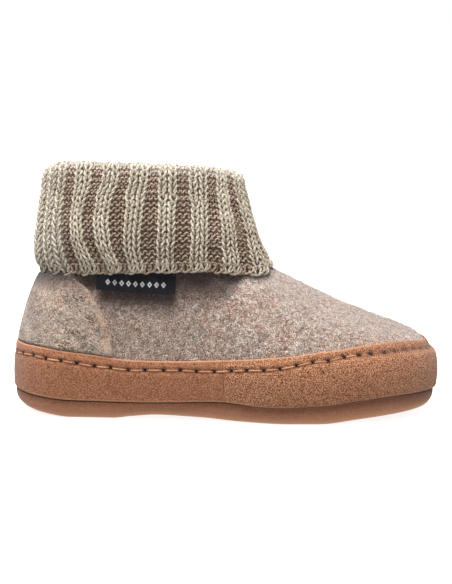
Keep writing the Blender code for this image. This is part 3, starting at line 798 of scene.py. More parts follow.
felt_shell = make_piece("felt_shell", np.concatenate((shell_outside, shell_lining)),
                        grid_quads(SHELL_ROWS + LINING_ROWS, SHELL_COLUMNS, True, True),
                        felt, "felt", marks={"under_edge": outside_shade})
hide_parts("upper")

# %% [markdown]
# ## Insole and sole
#
# The insole is a flat inlay of pale felt, seen only down through the ankle. The sole is one
# piece of soft foam rubber with a napped, suede-like skin: a ledge under the rand, a side that
# curves under, and a flat underside. Both are rings of points that follow the outline. Their
# flat faces are spanned straight across from the outer to the inner side, which keeps even
# quads where a fan of triangles would pinch.


# %% Closed skins made of rings
def across_ring(ring, columns, height):
    """Points between the outer and the inner side of a closed ring, without its border."""
    half = len(ring) // 2
    outer, inner = ring[1:half], ring[:half:-1]
    part = np.linspace(0.0, 1.0, columns + 1)[1:-1]
    grid = outer[:, None] * (1 - part)[None, :, None] + inner[:, None] * part[None, :, None]
    grid[..., 2] = height(grid)
    return grid


def cap_faces(ring_start, ring_count, inner_start, columns, flip):
    """Quads and triangles that join a ring to the points across it."""
    half = ring_count // 2
    rows = np.arange(1, half)
    inside = inner_start + np.arange((half - 1) * (columns - 1)).reshape(half - 1, columns - 1)
    outer = ring_start + rows[:, None]
    inner = ring_start + (ring_count - rows)[:, None]
    grid = np.concatenate((outer, inside, inner), axis=1)
    corners = (grid[:-1, :-1], grid[:-1, 1:], grid[1:, 1:], grid[1:, :-1])
    quads = np.stack(corners, axis=-1).reshape(-1, 4)
    first = np.stack((np.full(columns, ring_start), grid[0, 1:], grid[0, :-1]), axis=-1)
    last = np.stack((np.full(columns, ring_start + half), grid[-1, :-1], grid[-1, 1:]), axis=-1)
    triangles = np.concatenate((first, last))
    return (quads[:, ::-1], triangles[:, ::-1]) if flip else (quads, triangles)


def closed_skin(name, rings, columns, low_height, high_height, material, slot_name, marks=None):
    """A closed piece from rings, lowest first, with a spanned floor and a spanned top."""
    rows, count = rings.shape[:2]
    floor_grid = across_ring(rings[0], columns, low_height)
    top_grid = across_ring(rings[-1], columns, high_height)
    size = floor_grid.shape[0] * floor_grid.shape[1]
    grids = [grid.reshape(-1, 3) for grid in (rings, floor_grid, top_grid)]
    low_quads, low_triangles = cap_faces(0, count, rows * count, columns, True)
    last_ring, last_inner = (rows - 1) * count, rows * count + size
    high_quads, high_triangles = cap_faces(last_ring, count, last_inner, columns, False)
    quads = np.concatenate((grid_quads(rows, count, wrap_columns=True), low_quads, high_quads))
    triangles = np.concatenate((low_triangles, high_triangles))
    points = np.concatenate(grids)
    return make_piece(name, points, quads, material, slot_name, triangles, marks=marks)


def flat_ring(around, z, out):
    """A level ring of the felt's form at given heights."""
    ring = felt_form(around, rise_at_height(around, z), out)
    ring[:, 2] = z
    return ring


trial = cap_faces(0, 8, 8, 3, False)
print("a ring of 8 points is spanned by", len(trial[0]), "quads and", len(trial[1]), "triangles")

# %% Suede and foam materials
SUEDE_EDGE = linear(212, 158, 122)
# Dark brown for the painted shade inside the needle holes
PAINTED_HOLE_SHADE = linear(52, 24, 13)


def suede_material(name, tones, grain, bump, size, pebbles, edge=SUEDE_EDGE, deep=None):
    """Napped suede: brushed clouds, fine grain, pale edges, painted shade in holes and grooves."""
    dark, middle, light = (linear(*tone) for tone in tones)
    material, tree, shader = new_material(name, 0.92, sheen=0.2, specular=0.12)
    clouds = add_noise(tree, 9.0, 3.0, 0.5)
    nap = add_noise(tree, size, 2.0, 0.7, distortion=0.4)
    place = add_node(tree, "ShaderNodeTexCoord").outputs["Object"]
    pebble_place = {"Vector": place, "Scale": 1 / (1.7 * size * MM)}
    cells = add_node(tree, "ShaderNodeTexVoronoi", pebble_place)
    hollows = add_math(tree, "MULTIPLY", cells.outputs["Distance"], 0.72)
    pebble = add_math(tree, "SUBTRACT", 0.82, hollows)
    mixed = add_sum(tree, (nap, 1 - pebbles), (pebble, pebbles))
    base = add_ramp(tree, clouds, [(0.2, dark), (0.5, middle), (0.8, light)])
    fine = add_ramp(tree, mixed, [(0.38, dark), (0.5, middle), (0.62, light)])
    colour = add_mix(tree, grain, base, fine)
    # Pale cut edges, which on the sole are painted bounce light, then painted shade in creases and
    # under overhangs
    for mark, part, tint in (("cut_edge_and_painted_bounce", 0.6, edge), ("painted_shade", 0.5, deep or dark)):
        amount = add_math(tree, "MULTIPLY", read_mark(tree, mark), part)
        colour = add_mix(tree, amount, colour, tint)
    # painted shade inside the needle holes
    colour = add_mix(tree, read_mark(tree, "painted_hole_shade"), colour, PAINTED_HOLE_SHADE)
    finish_shader(tree, shader, colour, [(mixed, bump)])
    return material


suede_smooth = suede_material(
    "tan_suede_heel", ((104, 60, 38), (156, 102, 73), (208, 152, 113)),
    grain=0.92, bump=0.30, size=0.34, pebbles=0.3)
suede_coarse = suede_material(
    "tan_suede_toe", ((84, 42, 23), (174, 114, 80), (250, 196, 152)),
    grain=1.0, bump=0.55, size=0.28, pebbles=0.35)
foam = suede_material(
    "tan_foam", ((104, 65, 46), (142, 92, 67), (174, 122, 93)),
    grain=0.8, bump=0.22, size=0.42, pebbles=0.2,
    # The foam's edge tint is painted bounce light near the floor, its deep tint painted shade under
    # the rand
    edge=linear(240, 174, 132), deep=linear(78, 46, 31))
inlay_felt = felt_material(
    "pale_felt",
    shades((0.36, 196, 182, 164), (0.5, 212, 198, 180), (0.64, 224, 212, 194)),
    shades((0.30, 150, 134, 116), (0.45, 196, 180, 162), (0.6, 220, 206, 188),
           (0.74, 238, 228, 212)),
    grain_part=0.5, bump=0.2, shaded=False)
print("suede nodes:", len(suede_smooth.node_tree.nodes))

# %% Foam sole
SOLE_COLUMNS, SOLE_SPAN = 600, 24
sole_around = np.arange(SOLE_COLUMNS) * 2 / SOLE_COLUMNS
sole_place = place_of(sole_around)
ledge_z = rand_low(sole_around) - GAP
side_inset = smooth(SOLE_EDGE, "place", "inset", sole_place)
edge_round = smooth(SOLE_EDGE, "place", "round", sole_place)
LEDGE_ROUND = 0.7
sole_rings = []
for degrees in np.linspace(90.0, 0.0, 15):
    angle = math.radians(degrees)
    plan = plan_outline(sole_around, side_inset + edge_round * (1 - math.cos(angle)))
    z = sole_lift(plan[:, 0]) + edge_round * (1 - math.sin(angle))
    sole_rings.append(np.column_stack((plan, z)))
side_foot = sole_rings[-1][:, 2]
for part in np.linspace(0.2, 1.0, 5):
    z = side_foot + (ledge_z - LEDGE_ROUND - side_foot) * part
    sole_rings.append(np.column_stack((plan_outline(sole_around, side_inset), z)))
for degrees in (22.0, 45.0, 67.0, 90.0):
    angle = math.radians(degrees)
    plan = plan_outline(sole_around, side_inset + LEDGE_ROUND * (1 - math.cos(angle)))
    z = ledge_z - LEDGE_ROUND * (1 - math.sin(angle))
    sole_rings.append(np.column_stack((plan, z)))
sole_rings.append(flat_ring(sole_around, ledge_z, 0.0))
sole_rings.append(flat_ring(sole_around, foot_z(sole_place) - GAP, 0.0))
sole_rings = np.stack(sole_rings)
sole_side = sole_rings[5:20]
grain_relief = 0.10 * lumps(sole_side, 5.0, 11) + 0.05 * lumps(sole_side, 1.6, 12)
for axis in (0, 1):
    sole_side[..., axis] += grain_relief * unit(sole_side[..., :2] - (50.0, 0.0))[..., axis]
below_ledge = ledge_z - sole_rings[..., 2]
above_floor = sole_rings[..., 2] - sole_lift(sole_rings[..., 0])
down = below_ledge / np.maximum(below_ledge + above_floor, 0.1)
shade_most = 0.8 + 0.9 * ease(20.0, 75.0, sole_rings[..., 0])
# On the sole, the edge mark lightens the side towards the floor as painted bounce light, and the
# shade mark darkens its top under the rand's overhang as painted shade
sole_marks = {
    "cut_edge_and_painted_bounce": 1.55 * np.clip((down - 0.08) / 0.92, 0, 1) ** 1.5,
    "painted_shade": shade_most * np.clip(1 - down / 0.7, 0, 1),
    "painted_hole_shade": np.zeros(sole_rings.shape[:2]),
}
foam_sole = closed_skin("foam_sole", sole_rings, SOLE_SPAN, lambda p: sole_lift(p[..., 0]),
                        lambda p: FOOT_Z - GAP + toe_spring(p[..., 0]),
                        foam, "outsole", sole_marks)
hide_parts("outsole")

# %% Felt inlay
INLAY_COLUMNS, INLAY_SPAN = 240, 36
INLAY_EDGE = ((0.0, 0.4), (0.5, 0.0), (INSOLE - 0.9, 0.0), (INSOLE - 0.25, 0.3), (INSOLE, 1.1))
inlay_around = np.arange(INLAY_COLUMNS) * 2 / INLAY_COLUMNS
inlay_z = foot_z(place_of(inlay_around))
inlay_rings = [flat_ring(inlay_around, inlay_z + height, -FELT - 2 * GAP - inset)
               for height, inset in INLAY_EDGE]


def inlay_top(points):
    """Height of the inlay's upper face, a little dished and lumpy."""
    lift = toe_spring(points[..., 0])
    soft = 0.12 * lumps(np.stack((points[..., 0], points[..., 1], 0 * lift), axis=-1), 6.0, 13)
    return FOOT_Z + INSOLE + lift + soft - 0.12


felt_inlay = closed_skin("felt_inlay", np.stack(inlay_rings), INLAY_SPAN,
                         lambda p: FOOT_Z + toe_spring(p[..., 0]), inlay_top, inlay_felt, "insole")
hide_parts("insole")

# %% [markdown]
# ## Rand and its running stitch
#
# The rand is a strip of suede that closes the gap between felt and sole, in two lengths that
# butt at the sides. A heavy needle sews it down about 4 mm below its upper edge, so the suede
# is drawn in along that line, dips at every hole, and puffs a little above it. A bump texture
# could fake the dents, but the toe's outline would stay round, so the strip is a fine grid
# whose thickness carries the line, the holes and the rounded cut edges. The thread itself is
# a short two-ply tube from hole to hole.

# %% Stitch line
STITCH_FIRST = 0.5213
STITCH_BELOW_EDGE = {
    "place": (0.0, 0.10, 0.19, 0.24, 0.30, 0.45, 0.53, 0.60, 0.65, 0.70, 0.76, 0.81, 0.85, 1.0),
    "depth": (4.1, 4.3, 4.2, 4.5, 4.1, 4.0, 4.65, 4.5, 4.0, 3.5, 3.1, 3.6, 3.7, 3.4),
}
STITCH_PITCH, STITCH_WANDER = 7.23, 0.22
STITCH_SPACING = {
    "place": (0.0, 0.25, 0.45, 0.70, 0.80, 0.88, 1.0),
    "part": (0.985, 0.995, 1.01, 0.985, 0.83, 0.70, 0.68),
}
GIRTH_AT_STITCH = 434.0
walk = np.linspace(0.0, 2.0, 4001)
per_step = (walk[1] - walk[0]) * GIRTH_AT_STITCH / 2.0 / STITCH_PITCH
walk_places = STITCH_FIRST + walk[1:]
step_stitches = per_step / smooth(STITCH_SPACING, "place", "part", place_of(walk_places))
inner_side = side_of(walk_places) > 0
STITCHES = int(round(step_stitches.sum()))
step_stitches[inner_side] *= 1 + (STITCHES - step_stitches.sum()) / step_stitches[inner_side].sum()
stitch_count = np.concatenate(([0.0], np.cumsum(step_stitches)))
hole_around = STITCH_FIRST + np.interp(np.arange(STITCHES), stitch_count, walk)
stitch_rng = np.random.default_rng(21)
hole_shift = stitch_rng.normal(0.0, STITCH_WANDER, (STITCHES, 2))
hole_around = hole_around + hole_shift[:, 0] * 2.0 / GIRTH_AT_STITCH


def stitch_height(around):
    """Height of the stitch line."""
    return rand_top(around) - smooth(STITCH_BELOW_EDGE, "place", "depth", place_of(around))


def near_hole(around, z, along_reach, across_reach):
    """1 in the middle of a needle hole, fading out around it."""
    walked = np.interp(np.mod(around - STITCH_FIRST, 2.0), walk, stitch_count)
    index = np.round(walked).astype(int) % STITCHES
    along = np.mod(around - hole_around[index] + 1.0, 2.0) - 1.0
    along = along * GIRTH_AT_STITCH / 2.0
    across = z - stitch_height(around) - hole_shift[index, 1]
    return np.exp(-(along / along_reach) ** 2 - (across / across_reach) ** 2)


print(STITCHES, "stitches of about", STITCH_PITCH, "mm")


# %% Face of the suede
NO_ENDS = (-10.0, 10.0)


def suede_out(around, z, strip_ends=NO_ENDS):
    """How far the suede's face stands off the felt, with its marks."""
    place = place_of(around)
    low, top = rand_low(around), rand_top(around)
    from_low, from_top = z - low, top - z
    line = z - stitch_height(around)
    out = RAND - (0.85 - 0.6 * ease(0.20, 0.06, place)) * ease(4.5, 0.4, from_top)
    drawn = 0.42 + 0.35 * ease(0.66, 0.80, place) + 0.25 * ease(0.86, 0.97, place)
    out = out - drawn * np.exp(-(line / 1.5) ** 2)
    out = out + 0.22 * np.exp(-((line - 2.0) / 1.1) ** 2) * (1 - ease(0.8, 0.95, place))
    out = out - 0.45 * ease(0.80, 0.97, place) * ease(-3.0, 1.5, line)
    towards_toe = ease(0.74, 0.88, place)
    out = out - (0.95 - 0.35 * towards_toe) * near_hole(around, z, 1.25, 0.8)
    start, end = strip_ends
    from_end = np.minimum(around - start, end - around) * GIRTH_AT_STITCH / 2.0
    out = np.maximum(out, 0.35) - 0.6 * (1 - rounded(from_low, 0.9))
    out = out - 0.35 * (1 - rounded(from_top, 0.55)) - 0.45 * (1 - rounded(from_end, 0.8))
    cut_top, cut_low = ease(0.9, 0.25, from_top), 1.1 * ease(1.2, 0.4, from_low)
    marks = {
        "cut_edge_and_painted_bounce": cut_top + cut_low + 0.5 * ease(0.5, 0.1, from_end),
        # painted shade in the drawn-in stitch line and over the toe strip's lower part
        "painted_shade": np.exp(-(line / 0.9) ** 2) * 0.7 + 0.35 * towards_toe * ease(-1.0, 1.0, line),
        "painted_hole_shade": np.clip((2.3 - 1.55 * towards_toe) * near_hole(around, z, 1.05, 0.62), 0, 1),
    }
    return GAP + np.maximum(out, 0.12), marks


print("the suede's face is", round(float(suede_out(0.0, 20.0)[0]), 2), "mm off the heel's felt")

# %% Two strips of suede
SEAM_PLACE, SEAM_GAP, STRIP_COLUMNS = 0.505, 0.2, 480
STRIP_PARTS = np.concatenate((np.linspace(0.0, 0.05, 5), np.linspace(0.05, 0.95, 44)[1:-1],
                              np.linspace(0.95, 1.0, 5)))
STRIP_BACK_ROWS = np.array((len(STRIP_PARTS) - 1, 36, 24, 12, 0))
STRIP_END_STEPS = np.array((0.0, 0.15, 0.35, 0.6, 0.9))


def make_strip(name, start, end, material, seed):
    """One length of the rand between two places of the outline."""
    edge = STRIP_END_STEPS * 2.0 / GIRTH_AT_STITCH
    inner = np.linspace(start + edge[-1], end - edge[-1], STRIP_COLUMNS)
    around = np.concatenate((start + edge[:-1], inner, end - edge[:-1][::-1]))
    low, top = rand_low(around), rand_top(around)
    z = low + (top - low) * STRIP_PARTS[:, None]
    A = np.broadcast_to(around, z.shape)
    rise = rise_at_height(A, z)
    out, marks = suede_out(A, z, (start, end))
    spots = felt_surface(A, rise)
    out = out + 0.06 * lumps(spots, 3.2, seed) + 0.03 * lumps(spots, 1.1, seed + 1)
    face = felt_form(A, rise, out)
    face[0, :, 2] = low
    back = felt_form(A[STRIP_BACK_ROWS], rise[STRIP_BACK_ROWS], GAP)
    back[-1, :, 2] = low
    points = np.concatenate((face, back))
    rows, count = points.shape[:2]
    quads = [grid_quads(rows, count, wrap_rows=True)]
    index = np.arange(rows * count).reshape(rows, count)
    for column, order in ((0, -1), (count - 1, 1)):
        loop = index[:, column]
        half = np.arange(rows // 2 - 1)
        faces = np.stack((loop[half], loop[half + 1], loop[-2 - half], loop[-1 - half]), axis=-1)
        quads.append(faces[:, ::order])
    return make_piece(name, points, np.concatenate(quads), material, "suede", marks=marks)


half_gap = SEAM_GAP / GIRTH_AT_STITCH
suede_heel = make_strip("suede_heel", -SEAM_PLACE + half_gap, SEAM_PLACE - half_gap,
                        suede_smooth, 31)
suede_toe = make_strip("suede_toe", SEAM_PLACE + half_gap, 2.0 - SEAM_PLACE - half_gap,
                       suede_coarse, 33)
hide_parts("rand_heel")
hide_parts("rand_toe")

# %% Yarn material
# Colour of the painted light on the cuff's rim and heel side
PAINTED_LIGHT_WOOL = linear(240, 235, 225)


def yarn_material(name, tones, ply=1.7, turns=1.0, shade=None, roughness=0.9, sheen=0.2):
    """Spun yarn: plies that wind along it, fibres, and a slightly other tone on each strand."""
    dark, middle, light = (linear(*tone) for tone in tones)
    material, tree, shader = new_material(name, roughness, sheen=sheen, specular=0.12)
    uv = add_node(tree, "ShaderNodeUVMap", uv_map="UVMap").outputs["UV"]
    split = add_node(tree, "ShaderNodeSeparateXYZ", {"Vector": uv})
    along = add_math(tree, "MULTIPLY", split.outputs["X"], 1 / ply)
    phase = add_math(tree, "ADD", along, add_math(tree, "MULTIPLY", split.outputs["Y"], turns))
    wave = add_math(tree, "SINE", add_math(tree, "MULTIPLY", phase, 2 * math.pi))
    wave = add_math(tree, "ADD", add_math(tree, "MULTIPLY", wave, 0.5), 0.5)
    fibres = add_noise(tree, 0.30, 3.0, 0.65, distortion=0.5)
    patches = add_noise(tree, 2.6, 2.0, 0.5)
    strand = add_node(tree, "ShaderNodeNewGeometry").outputs["Random Per Island"]
    tone = add_sum(tree, (wave, 0.20), (fibres, 0.54), (patches, 0.25), (strand, 0.16))
    colour = add_ramp(tree, tone, [(0.34, dark), (0.60, middle), (0.86, light)])
    if shade is not None:
        # Painted shade: yarn that lies deep in the knit, by its height mark, is mixed towards the
        # shade colour
        depth = add_range(tree, read_mark(tree, "height"), 0.5, -0.7)
        colour = add_mix(tree, read_mark(tree, "cream"), colour, linear(196, 184, 163))
        colour = add_mix(tree, depth, colour, shade)
        # painted light at the rim and on the heel side
        colour = add_mix(tree, read_mark(tree, "painted_light"), colour, PAINTED_LIGHT_WOOL)
    finish_shader(tree, shader, colour, [(wave, 0.07), (fibres, 0.05)])
    return material


thread_yarn = yarn_material("tan_thread", ((140, 92, 66), (186, 136, 106), (214, 170, 138)),
                            ply=1.1, turns=2.0, roughness=0.7, sheen=0.1)
print("yarn nodes:", len(thread_yarn.node_tree.nodes))

# %% Thread
THREAD_RADIUS, THREAD_SIDES, THREAD_STEPS = 0.36, 8, 21
THREAD_STANDS, THREAD_DIP, DIP_REACH = 0.12, 1.6, 1.25
steps = np.linspace(0.0, 1.0, THREAD_STEPS)
thread_around = np.stack([hole_around, np.roll(hole_around, -1)], axis=1)
thread_around[-1, 1] += 2.0
thread_around = thread_around[:, :1] * (1 - steps) + thread_around[:, 1:] * steps
shift = np.stack([hole_shift[:, 1], np.roll(hole_shift[:, 1], -1)], axis=1)
thread_z = stitch_height(thread_around) + shift[:, :1] * (1 - steps) + shift[:, 1:] * steps
thread_length = (thread_around[:, -1:] - thread_around[:, :1]) * GIRTH_AT_STITCH / 2.0
from_hole = np.minimum(steps, 1 - steps) * thread_length
thread_base, _ = suede_out(thread_around, thread_z)
level = thread_base[:, THREAD_STEPS // 2][:, None]
sunk = 0.75 * ease(0.75, 0.86, place_of(thread_around))
thread_out = level + THREAD_STANDS - sunk - THREAD_DIP * np.exp(-(from_hole / DIP_REACH) ** 2)
thread_rise = rise_at_height(thread_around, thread_z)
thread_paths = felt_form(thread_around, thread_rise, thread_out)
thread_points, thread_quads, thread_uvs = make_tubes(
    thread_paths, felt_normal(thread_around, thread_rise), THREAD_RADIUS, THREAD_SIDES)
make_piece("running_stitch", thread_points, thread_quads, thread_yarn, "suede", uvs=thread_uvs)

# %% [markdown]
# ## Counter
#
# A second layer of felt is fulled onto the heel to stiffen it. Its face is pressed smoother
# than the upper's and shows faint diagonal streaks, and its front edge ends in a soft, slightly
# rusty ridge. It could be a dent in the upper's mesh, but a separate layer keeps the real
# step at the edge, from every side.

# %% Felt counter
COUNTER_THICKNESS, COUNTER_GAP, COUNTER_BELOW_CUFF = 1.2, 0.4, 1.0
COUNTER_EDGE = {
    "z": (27.0, 34.0, 39.5, 44.5, 50.0, 55.0, 60.0),
    "x": (11.0, 10.6, 9.3, 6.6, 3.7, 0.4, -6.0),
}


def counter_spots(side, parts, acrosses):
    """Places and rises of one side of the counter; side is 1 outside and -1 inside."""
    part, across = np.meshgrid(parts, acrosses, indexing="ij")
    place = across * 0.3
    for _ in range(4):
        low = rand_top(place) + GAP
        angle = smooth(PROFILE, "place", "collar_angle", place)
        z = low + (smooth(CUFF_LOW_Z, "angle", "z", angle) - COUNTER_BELOW_CUFF - low) * part
        rise = rise_at_height(side * place, z)
        place = across * place_for_x(smooth(COUNTER_EDGE, "z", "x", z), rise, side)
    return side * place, rise


def refine(grid, rows, columns):
    """More rows and columns in a smooth grid of numbers."""
    old_rows, old_columns = np.linspace(0, 1, grid.shape[0]), np.linspace(0, 1, grid.shape[1])
    wide = np.array([np.interp(np.linspace(0, 1, columns), old_columns, row) for row in grid])
    return np.array([np.interp(np.linspace(0, 1, rows), old_rows, column) for column in wide.T]).T


print("the counter's edge, 40 mm up, is at x =", smooth(COUNTER_EDGE, "z", "x", 40.0).round(1))

# %% Counter's face and back
COUNTER_ROWS, COUNTER_COLUMNS = 60, 241
COUNTER_REACH, COUNTER_HEIGHT = 62.0, 30.0
inner_spots = counter_spots(-1, np.linspace(0, 1, 15), np.linspace(1, 0, 17))
outer_spots = counter_spots(1, np.linspace(0, 1, 15), np.linspace(0, 1, 17))
coarse = [np.concatenate((a[:, :-1], b), axis=1) for a, b in zip(inner_spots, outer_spots)]
counter_around, counter_rise = (refine(grid, COUNTER_ROWS, COUNTER_COLUMNS) for grid in coarse)
counter_face = felt_surface(counter_around, counter_rise)
across = np.linspace(-1.0, 1.0, COUNTER_COLUMNS)[None, :]
from_edge = (1 - np.abs(across)) * COUNTER_REACH
up = np.linspace(0.0, 1.0, COUNTER_ROWS)[:, None]
from_foot, from_head = up * COUNTER_HEIGHT, (1 - up) * COUNTER_HEIGHT
ridge = np.exp(-((from_edge - 2.2) / 1.9) ** 2)
counter_out = COUNTER_THICKNESS - 1.1 * (1 - rounded(from_edge, 2.4)) + 0.30 * ridge
for distance in (from_foot, from_head):
    counter_out = counter_out - 0.8 * (1 - rounded(distance, 1.0))
counter_out = counter_out + 0.16 * lumps(counter_face, 7.0, 41)
counter_out = counter_out + 0.07 * lumps(counter_face, 2.2, 42)
counter_out = COUNTER_GAP + np.maximum(counter_out, 0.1)
counter_outer = felt_form(counter_around, counter_rise, counter_out)
counter_inner = felt_form(counter_around, counter_rise, COUNTER_GAP - 0.3)


def plate_quads(rows, columns):
    """Quads of a plate: its face, its back, and the four edges between them."""
    face = grid_quads(rows, columns)
    back = face[:, ::-1] + rows * columns
    index = np.arange(rows * columns).reshape(rows, columns)
    rim = np.concatenate((index[0], index[1:, -1], index[-1, -2::-1], index[-2:0:-1, 0]))
    after = np.roll(rim, -1)
    edge = np.stack((after, rim, rim + rows * columns, after + rows * columns), axis=-1)
    return np.concatenate((face, back, edge))


counter_marks = {
    "ridge": np.broadcast_to(ridge, counter_rise.shape),
    "under_edge": under_edge(counter_around, counter_outer, 0.0),
}
felt_counter = make_piece("felt_counter", np.concatenate((counter_outer, counter_inner)),
                          plate_quads(COUNTER_ROWS, COUNTER_COLUMNS), counter_felt,
                          "counter_felt", marks=counter_marks)
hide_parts("heel_counter")

# %% [markdown]
# ## Woven tab
#
# A small black ribbon is caught under the cuff on the outer side. It is woven, so its face has
# fine crosswise ribs and its long edges are a little thicker selvedges. Its middle carries a
# plain row of pale lozenges. They are worked out from the place on the ribbon, not drawn.

# %% Ribbon
TAB_THICKNESS = 0.8
TAB_LENGTH, TAB_WIDTH = TAB_X[1] - TAB_X[0], TAB_Z[1] - TAB_Z[0]
TAB_ROWS, TAB_COLUMNS = 42, 160


def tab_spots(xs, zs):
    """Places and rises of the felt's outer side at given x and z."""
    x, z = np.meshgrid(xs, zs)
    z = z + tab_tilt(x)
    place = np.full(x.shape, 0.3)
    for _ in range(4):
        rise = rise_at_height(place, z)
        place = place_for_x(x, rise, 1)
    return place, rise


tab_coarse = tab_spots(np.linspace(*TAB_X, 12), np.linspace(*TAB_Z, 6))
tab_around, tab_rise = (refine(grid, TAB_ROWS, TAB_COLUMNS) for grid in tab_coarse)
tab_along, tab_up = np.meshgrid(np.linspace(0, TAB_LENGTH, TAB_COLUMNS),
                                np.linspace(0, TAB_WIDTH, TAB_ROWS))
tab_end = np.minimum(tab_along, TAB_LENGTH - tab_along)
tab_hang = 1.7 * (1 - tab_up / tab_up.max()) ** 1.5
tab_waves = lumps(np.stack((tab_along, tab_up, 0 * tab_up), axis=-1), 6.0, 51)
tab_out = tab_hang + TAB_THICKNESS - 0.30 * (1 - rounded(tab_up, 0.5))
tab_out = tab_out - 0.3 * (1 - rounded(tab_end, 0.5))
tab_out = tab_out + 0.08 * np.exp(-((tab_up - 0.5) / 0.35) ** 2) + 0.10 * tab_waves - 0.06
TAB_FIGURES, TAB_MIDDLE, TAB_PITCH = 9, 3.6, 2.9
figure_from = (tab_along - TAB_LENGTH / 2) / TAB_PITCH
nearest = np.clip(np.round(figure_from), -(TAB_FIGURES // 2), TAB_FIGURES // 2)
lozenge = np.abs((figure_from - nearest) * TAB_PITCH) / 0.95 + np.abs(tab_up - TAB_MIDDLE) / 1.25
figure = ease(1.12, 0.92, lozenge) * (1 - ease(0.52, 0.34, lozenge))
tab_face = felt_form(tab_around, tab_rise, GAP + tab_out + 0.05 * figure)
tab_back = felt_form(tab_around, tab_rise, GAP - 0.2 + tab_hang)
print("tab:", round(TAB_LENGTH, 1), "by", round(TAB_WIDTH, 1), "mm")

# %% Ribbon material and piece
WEFT_PITCH, WARP_PITCH = 0.42, 0.34
ribbon, ribbon_tree, ribbon_shader = new_material(
    "black_ribbon", 0.7, sheen=0.05, sheen_roughness=0.4, specular=0.15)


def thread_wave(mark, pitch):
    """A wave along the ribbon or up it, one for each thread of the weave."""
    phase = add_math(ribbon_tree, "MULTIPLY", read_mark(ribbon_tree, mark), 2 * math.pi / pitch)
    return add_math(ribbon_tree, "SINE", phase)


crossings = add_math(ribbon_tree, "MULTIPLY", thread_wave("up", WEFT_PITCH),
                     thread_wave("along", WARP_PITCH))
weave = add_math(ribbon_tree, "ADD", add_math(ribbon_tree, "MULTIPLY", crossings, 0.35), 0.5)
black = add_ramp(ribbon_tree, weave, shades((0.15, 5, 5, 9), (0.85, 22, 22, 30)))
white = add_ramp(ribbon_tree, weave, shades((0.15, 168, 168, 172), (0.85, 224, 224, 226)))
ribbon_colour = add_mix(ribbon_tree, read_mark(ribbon_tree, "figure"), black, white)
finish_shader(ribbon_tree, ribbon_shader, ribbon_colour, [(weave, 0.10)])
tab_marks = {mark: np.stack((values, values)) for mark, values in
             (("along", tab_along), ("up", tab_up), ("figure", figure))}
woven_tab = make_piece("woven_tab", np.concatenate((tab_face, tab_back)),
                       plate_quads(TAB_ROWS, TAB_COLUMNS), ribbon, "label", marks=tab_marks)
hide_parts("label")

# %% [markdown]
# ## Rib-knit cuff
#
# The cuff is a tube of two-by-two rib, folded down over itself. The ribs are cream yarn that
# shows knit stitches, columns of small V shapes, and the valleys between them are brown yarn
# that shows purl stitches, rows of little waves. A displacement map of knitting looks right
# only from straight ahead, so here every stitch is a real loop of yarn. First comes the
# fabric's surface as one table: `turn` counts ribs around the ankle and `course` counts rows
# of stitches from the lower edge, up the outside, over the rim and down the inside. Then one
# formula bends the yarn: across by t + a sin 2t, up by h cos t, out by d cos 2t.

# %% Cuff sizes
CUFF_LEVELS = {
    "z": (60.0, 66.0, 72.0, 80.0, 88.0, 95.0, 100.0),
    "back_x": (-25.0, -26.8, -26.9, -25.9, -24.7, -23.6, -22.4),
    "front_x": (78.9, 75.6, 72.0, 69.4, 67.2, 65.4, 63.2),
    "half_width": (32.4, 32.9, 33.2, 32.9, 32.2, 31.2, 30.0),
}
CUFF_LAYER, CUFF_HOLLOW, CUFF_TURN_Z, CUFF_CLEAR = 3.0, 1.5, 96.0, 0.6
CUFF_RIM_Z = {
    "angle": (0.0, 45.0, 90.0, 135.0, 180.0),
    "z": (103.4, 105.2, 106.3, 107.2, 104.4),
}
CUFF_TO_COLLAR = {
    "z": (66.0, 74.0, 84.0, 96.0),
    "part": (1.0, 0.75, 0.25, 0.0),
}
RIBS, RIB_DEPTH, RIB_FIRST, WALES_PER_RIB = 18, 1.5, 74.98, 4
RIM_TILT, RIM_MIDDLE_X, RIB_COUNT_Z = 2.9, 20.4, 83.0
FOLD = 2 * CUFF_LAYER + CUFF_HOLLOW

# The ribs lean: how far each has slipped around the ankle at several heights
RIB_LEAN = {
    "turn": (-9.0, -5.5, -4.5, -3.5, -2.5, -1.5, -1.0, 0.0, 1.0, 1.5, 2.0, 2.5, 3.5, 9.0),
    101: (2.3, 2.3, 5.0, 8.2, 7.5, 5.8, 5.6, 4.1, 3.7, 3.9, 2.3, -0.3, 1.5, 2.3),
    93: (2.3, 2.3, 4.6, 7.0, 4.4, 2.9, 3.3, 3.3, 3.4, 3.2, 1.7, 0.5, 1.5, 2.3),
    85: (2.3, 2.3, 4.2, 6.4, 3.1, 2.1, 2.2, 2.4, 2.3, 2.4, 1.4, 1.2, 1.8, 2.3),
    77: (2.3, 2.3, 4.6, 7.2, 4.1, 2.1, 1.2, 1.2, 0.9, 0.6, 0.4, 0.6, 1.5, 2.3),
    72: (2.3, 2.3, 5.4, 8.6, 5.8, 2.5, 0.8, -0.2, -1.0, -1.3, -1.2, -1.2, 0.6, 2.3),
    66: (2.3, 2.3, 6.0, 10.0, 8.0, 2.8, 0.4, -2.4, -3.3, -3.6, -3.9, -4.2, -1.5, 2.3),
    61: (2.3, 2.3, 5.0, 9.0, 7.0, 1.0, -1.6, -4.8, -6.0, -6.4, -6.8, -7.0, -3.0, 2.3),
}
LEAN_HEIGHTS = sorted(key for key in RIB_LEAN if key != "turn")
print("the folded cuff is", FOLD, "mm thick")


# %% Outline and rim of the cuff
def cuff_oval(angle, z):
    """Outside of the folded-down layer."""
    level = [smooth(CUFF_LEVELS, "z", name, z) for name in ("back_x", "front_x", "half_width")]
    return oval(angle, *level)


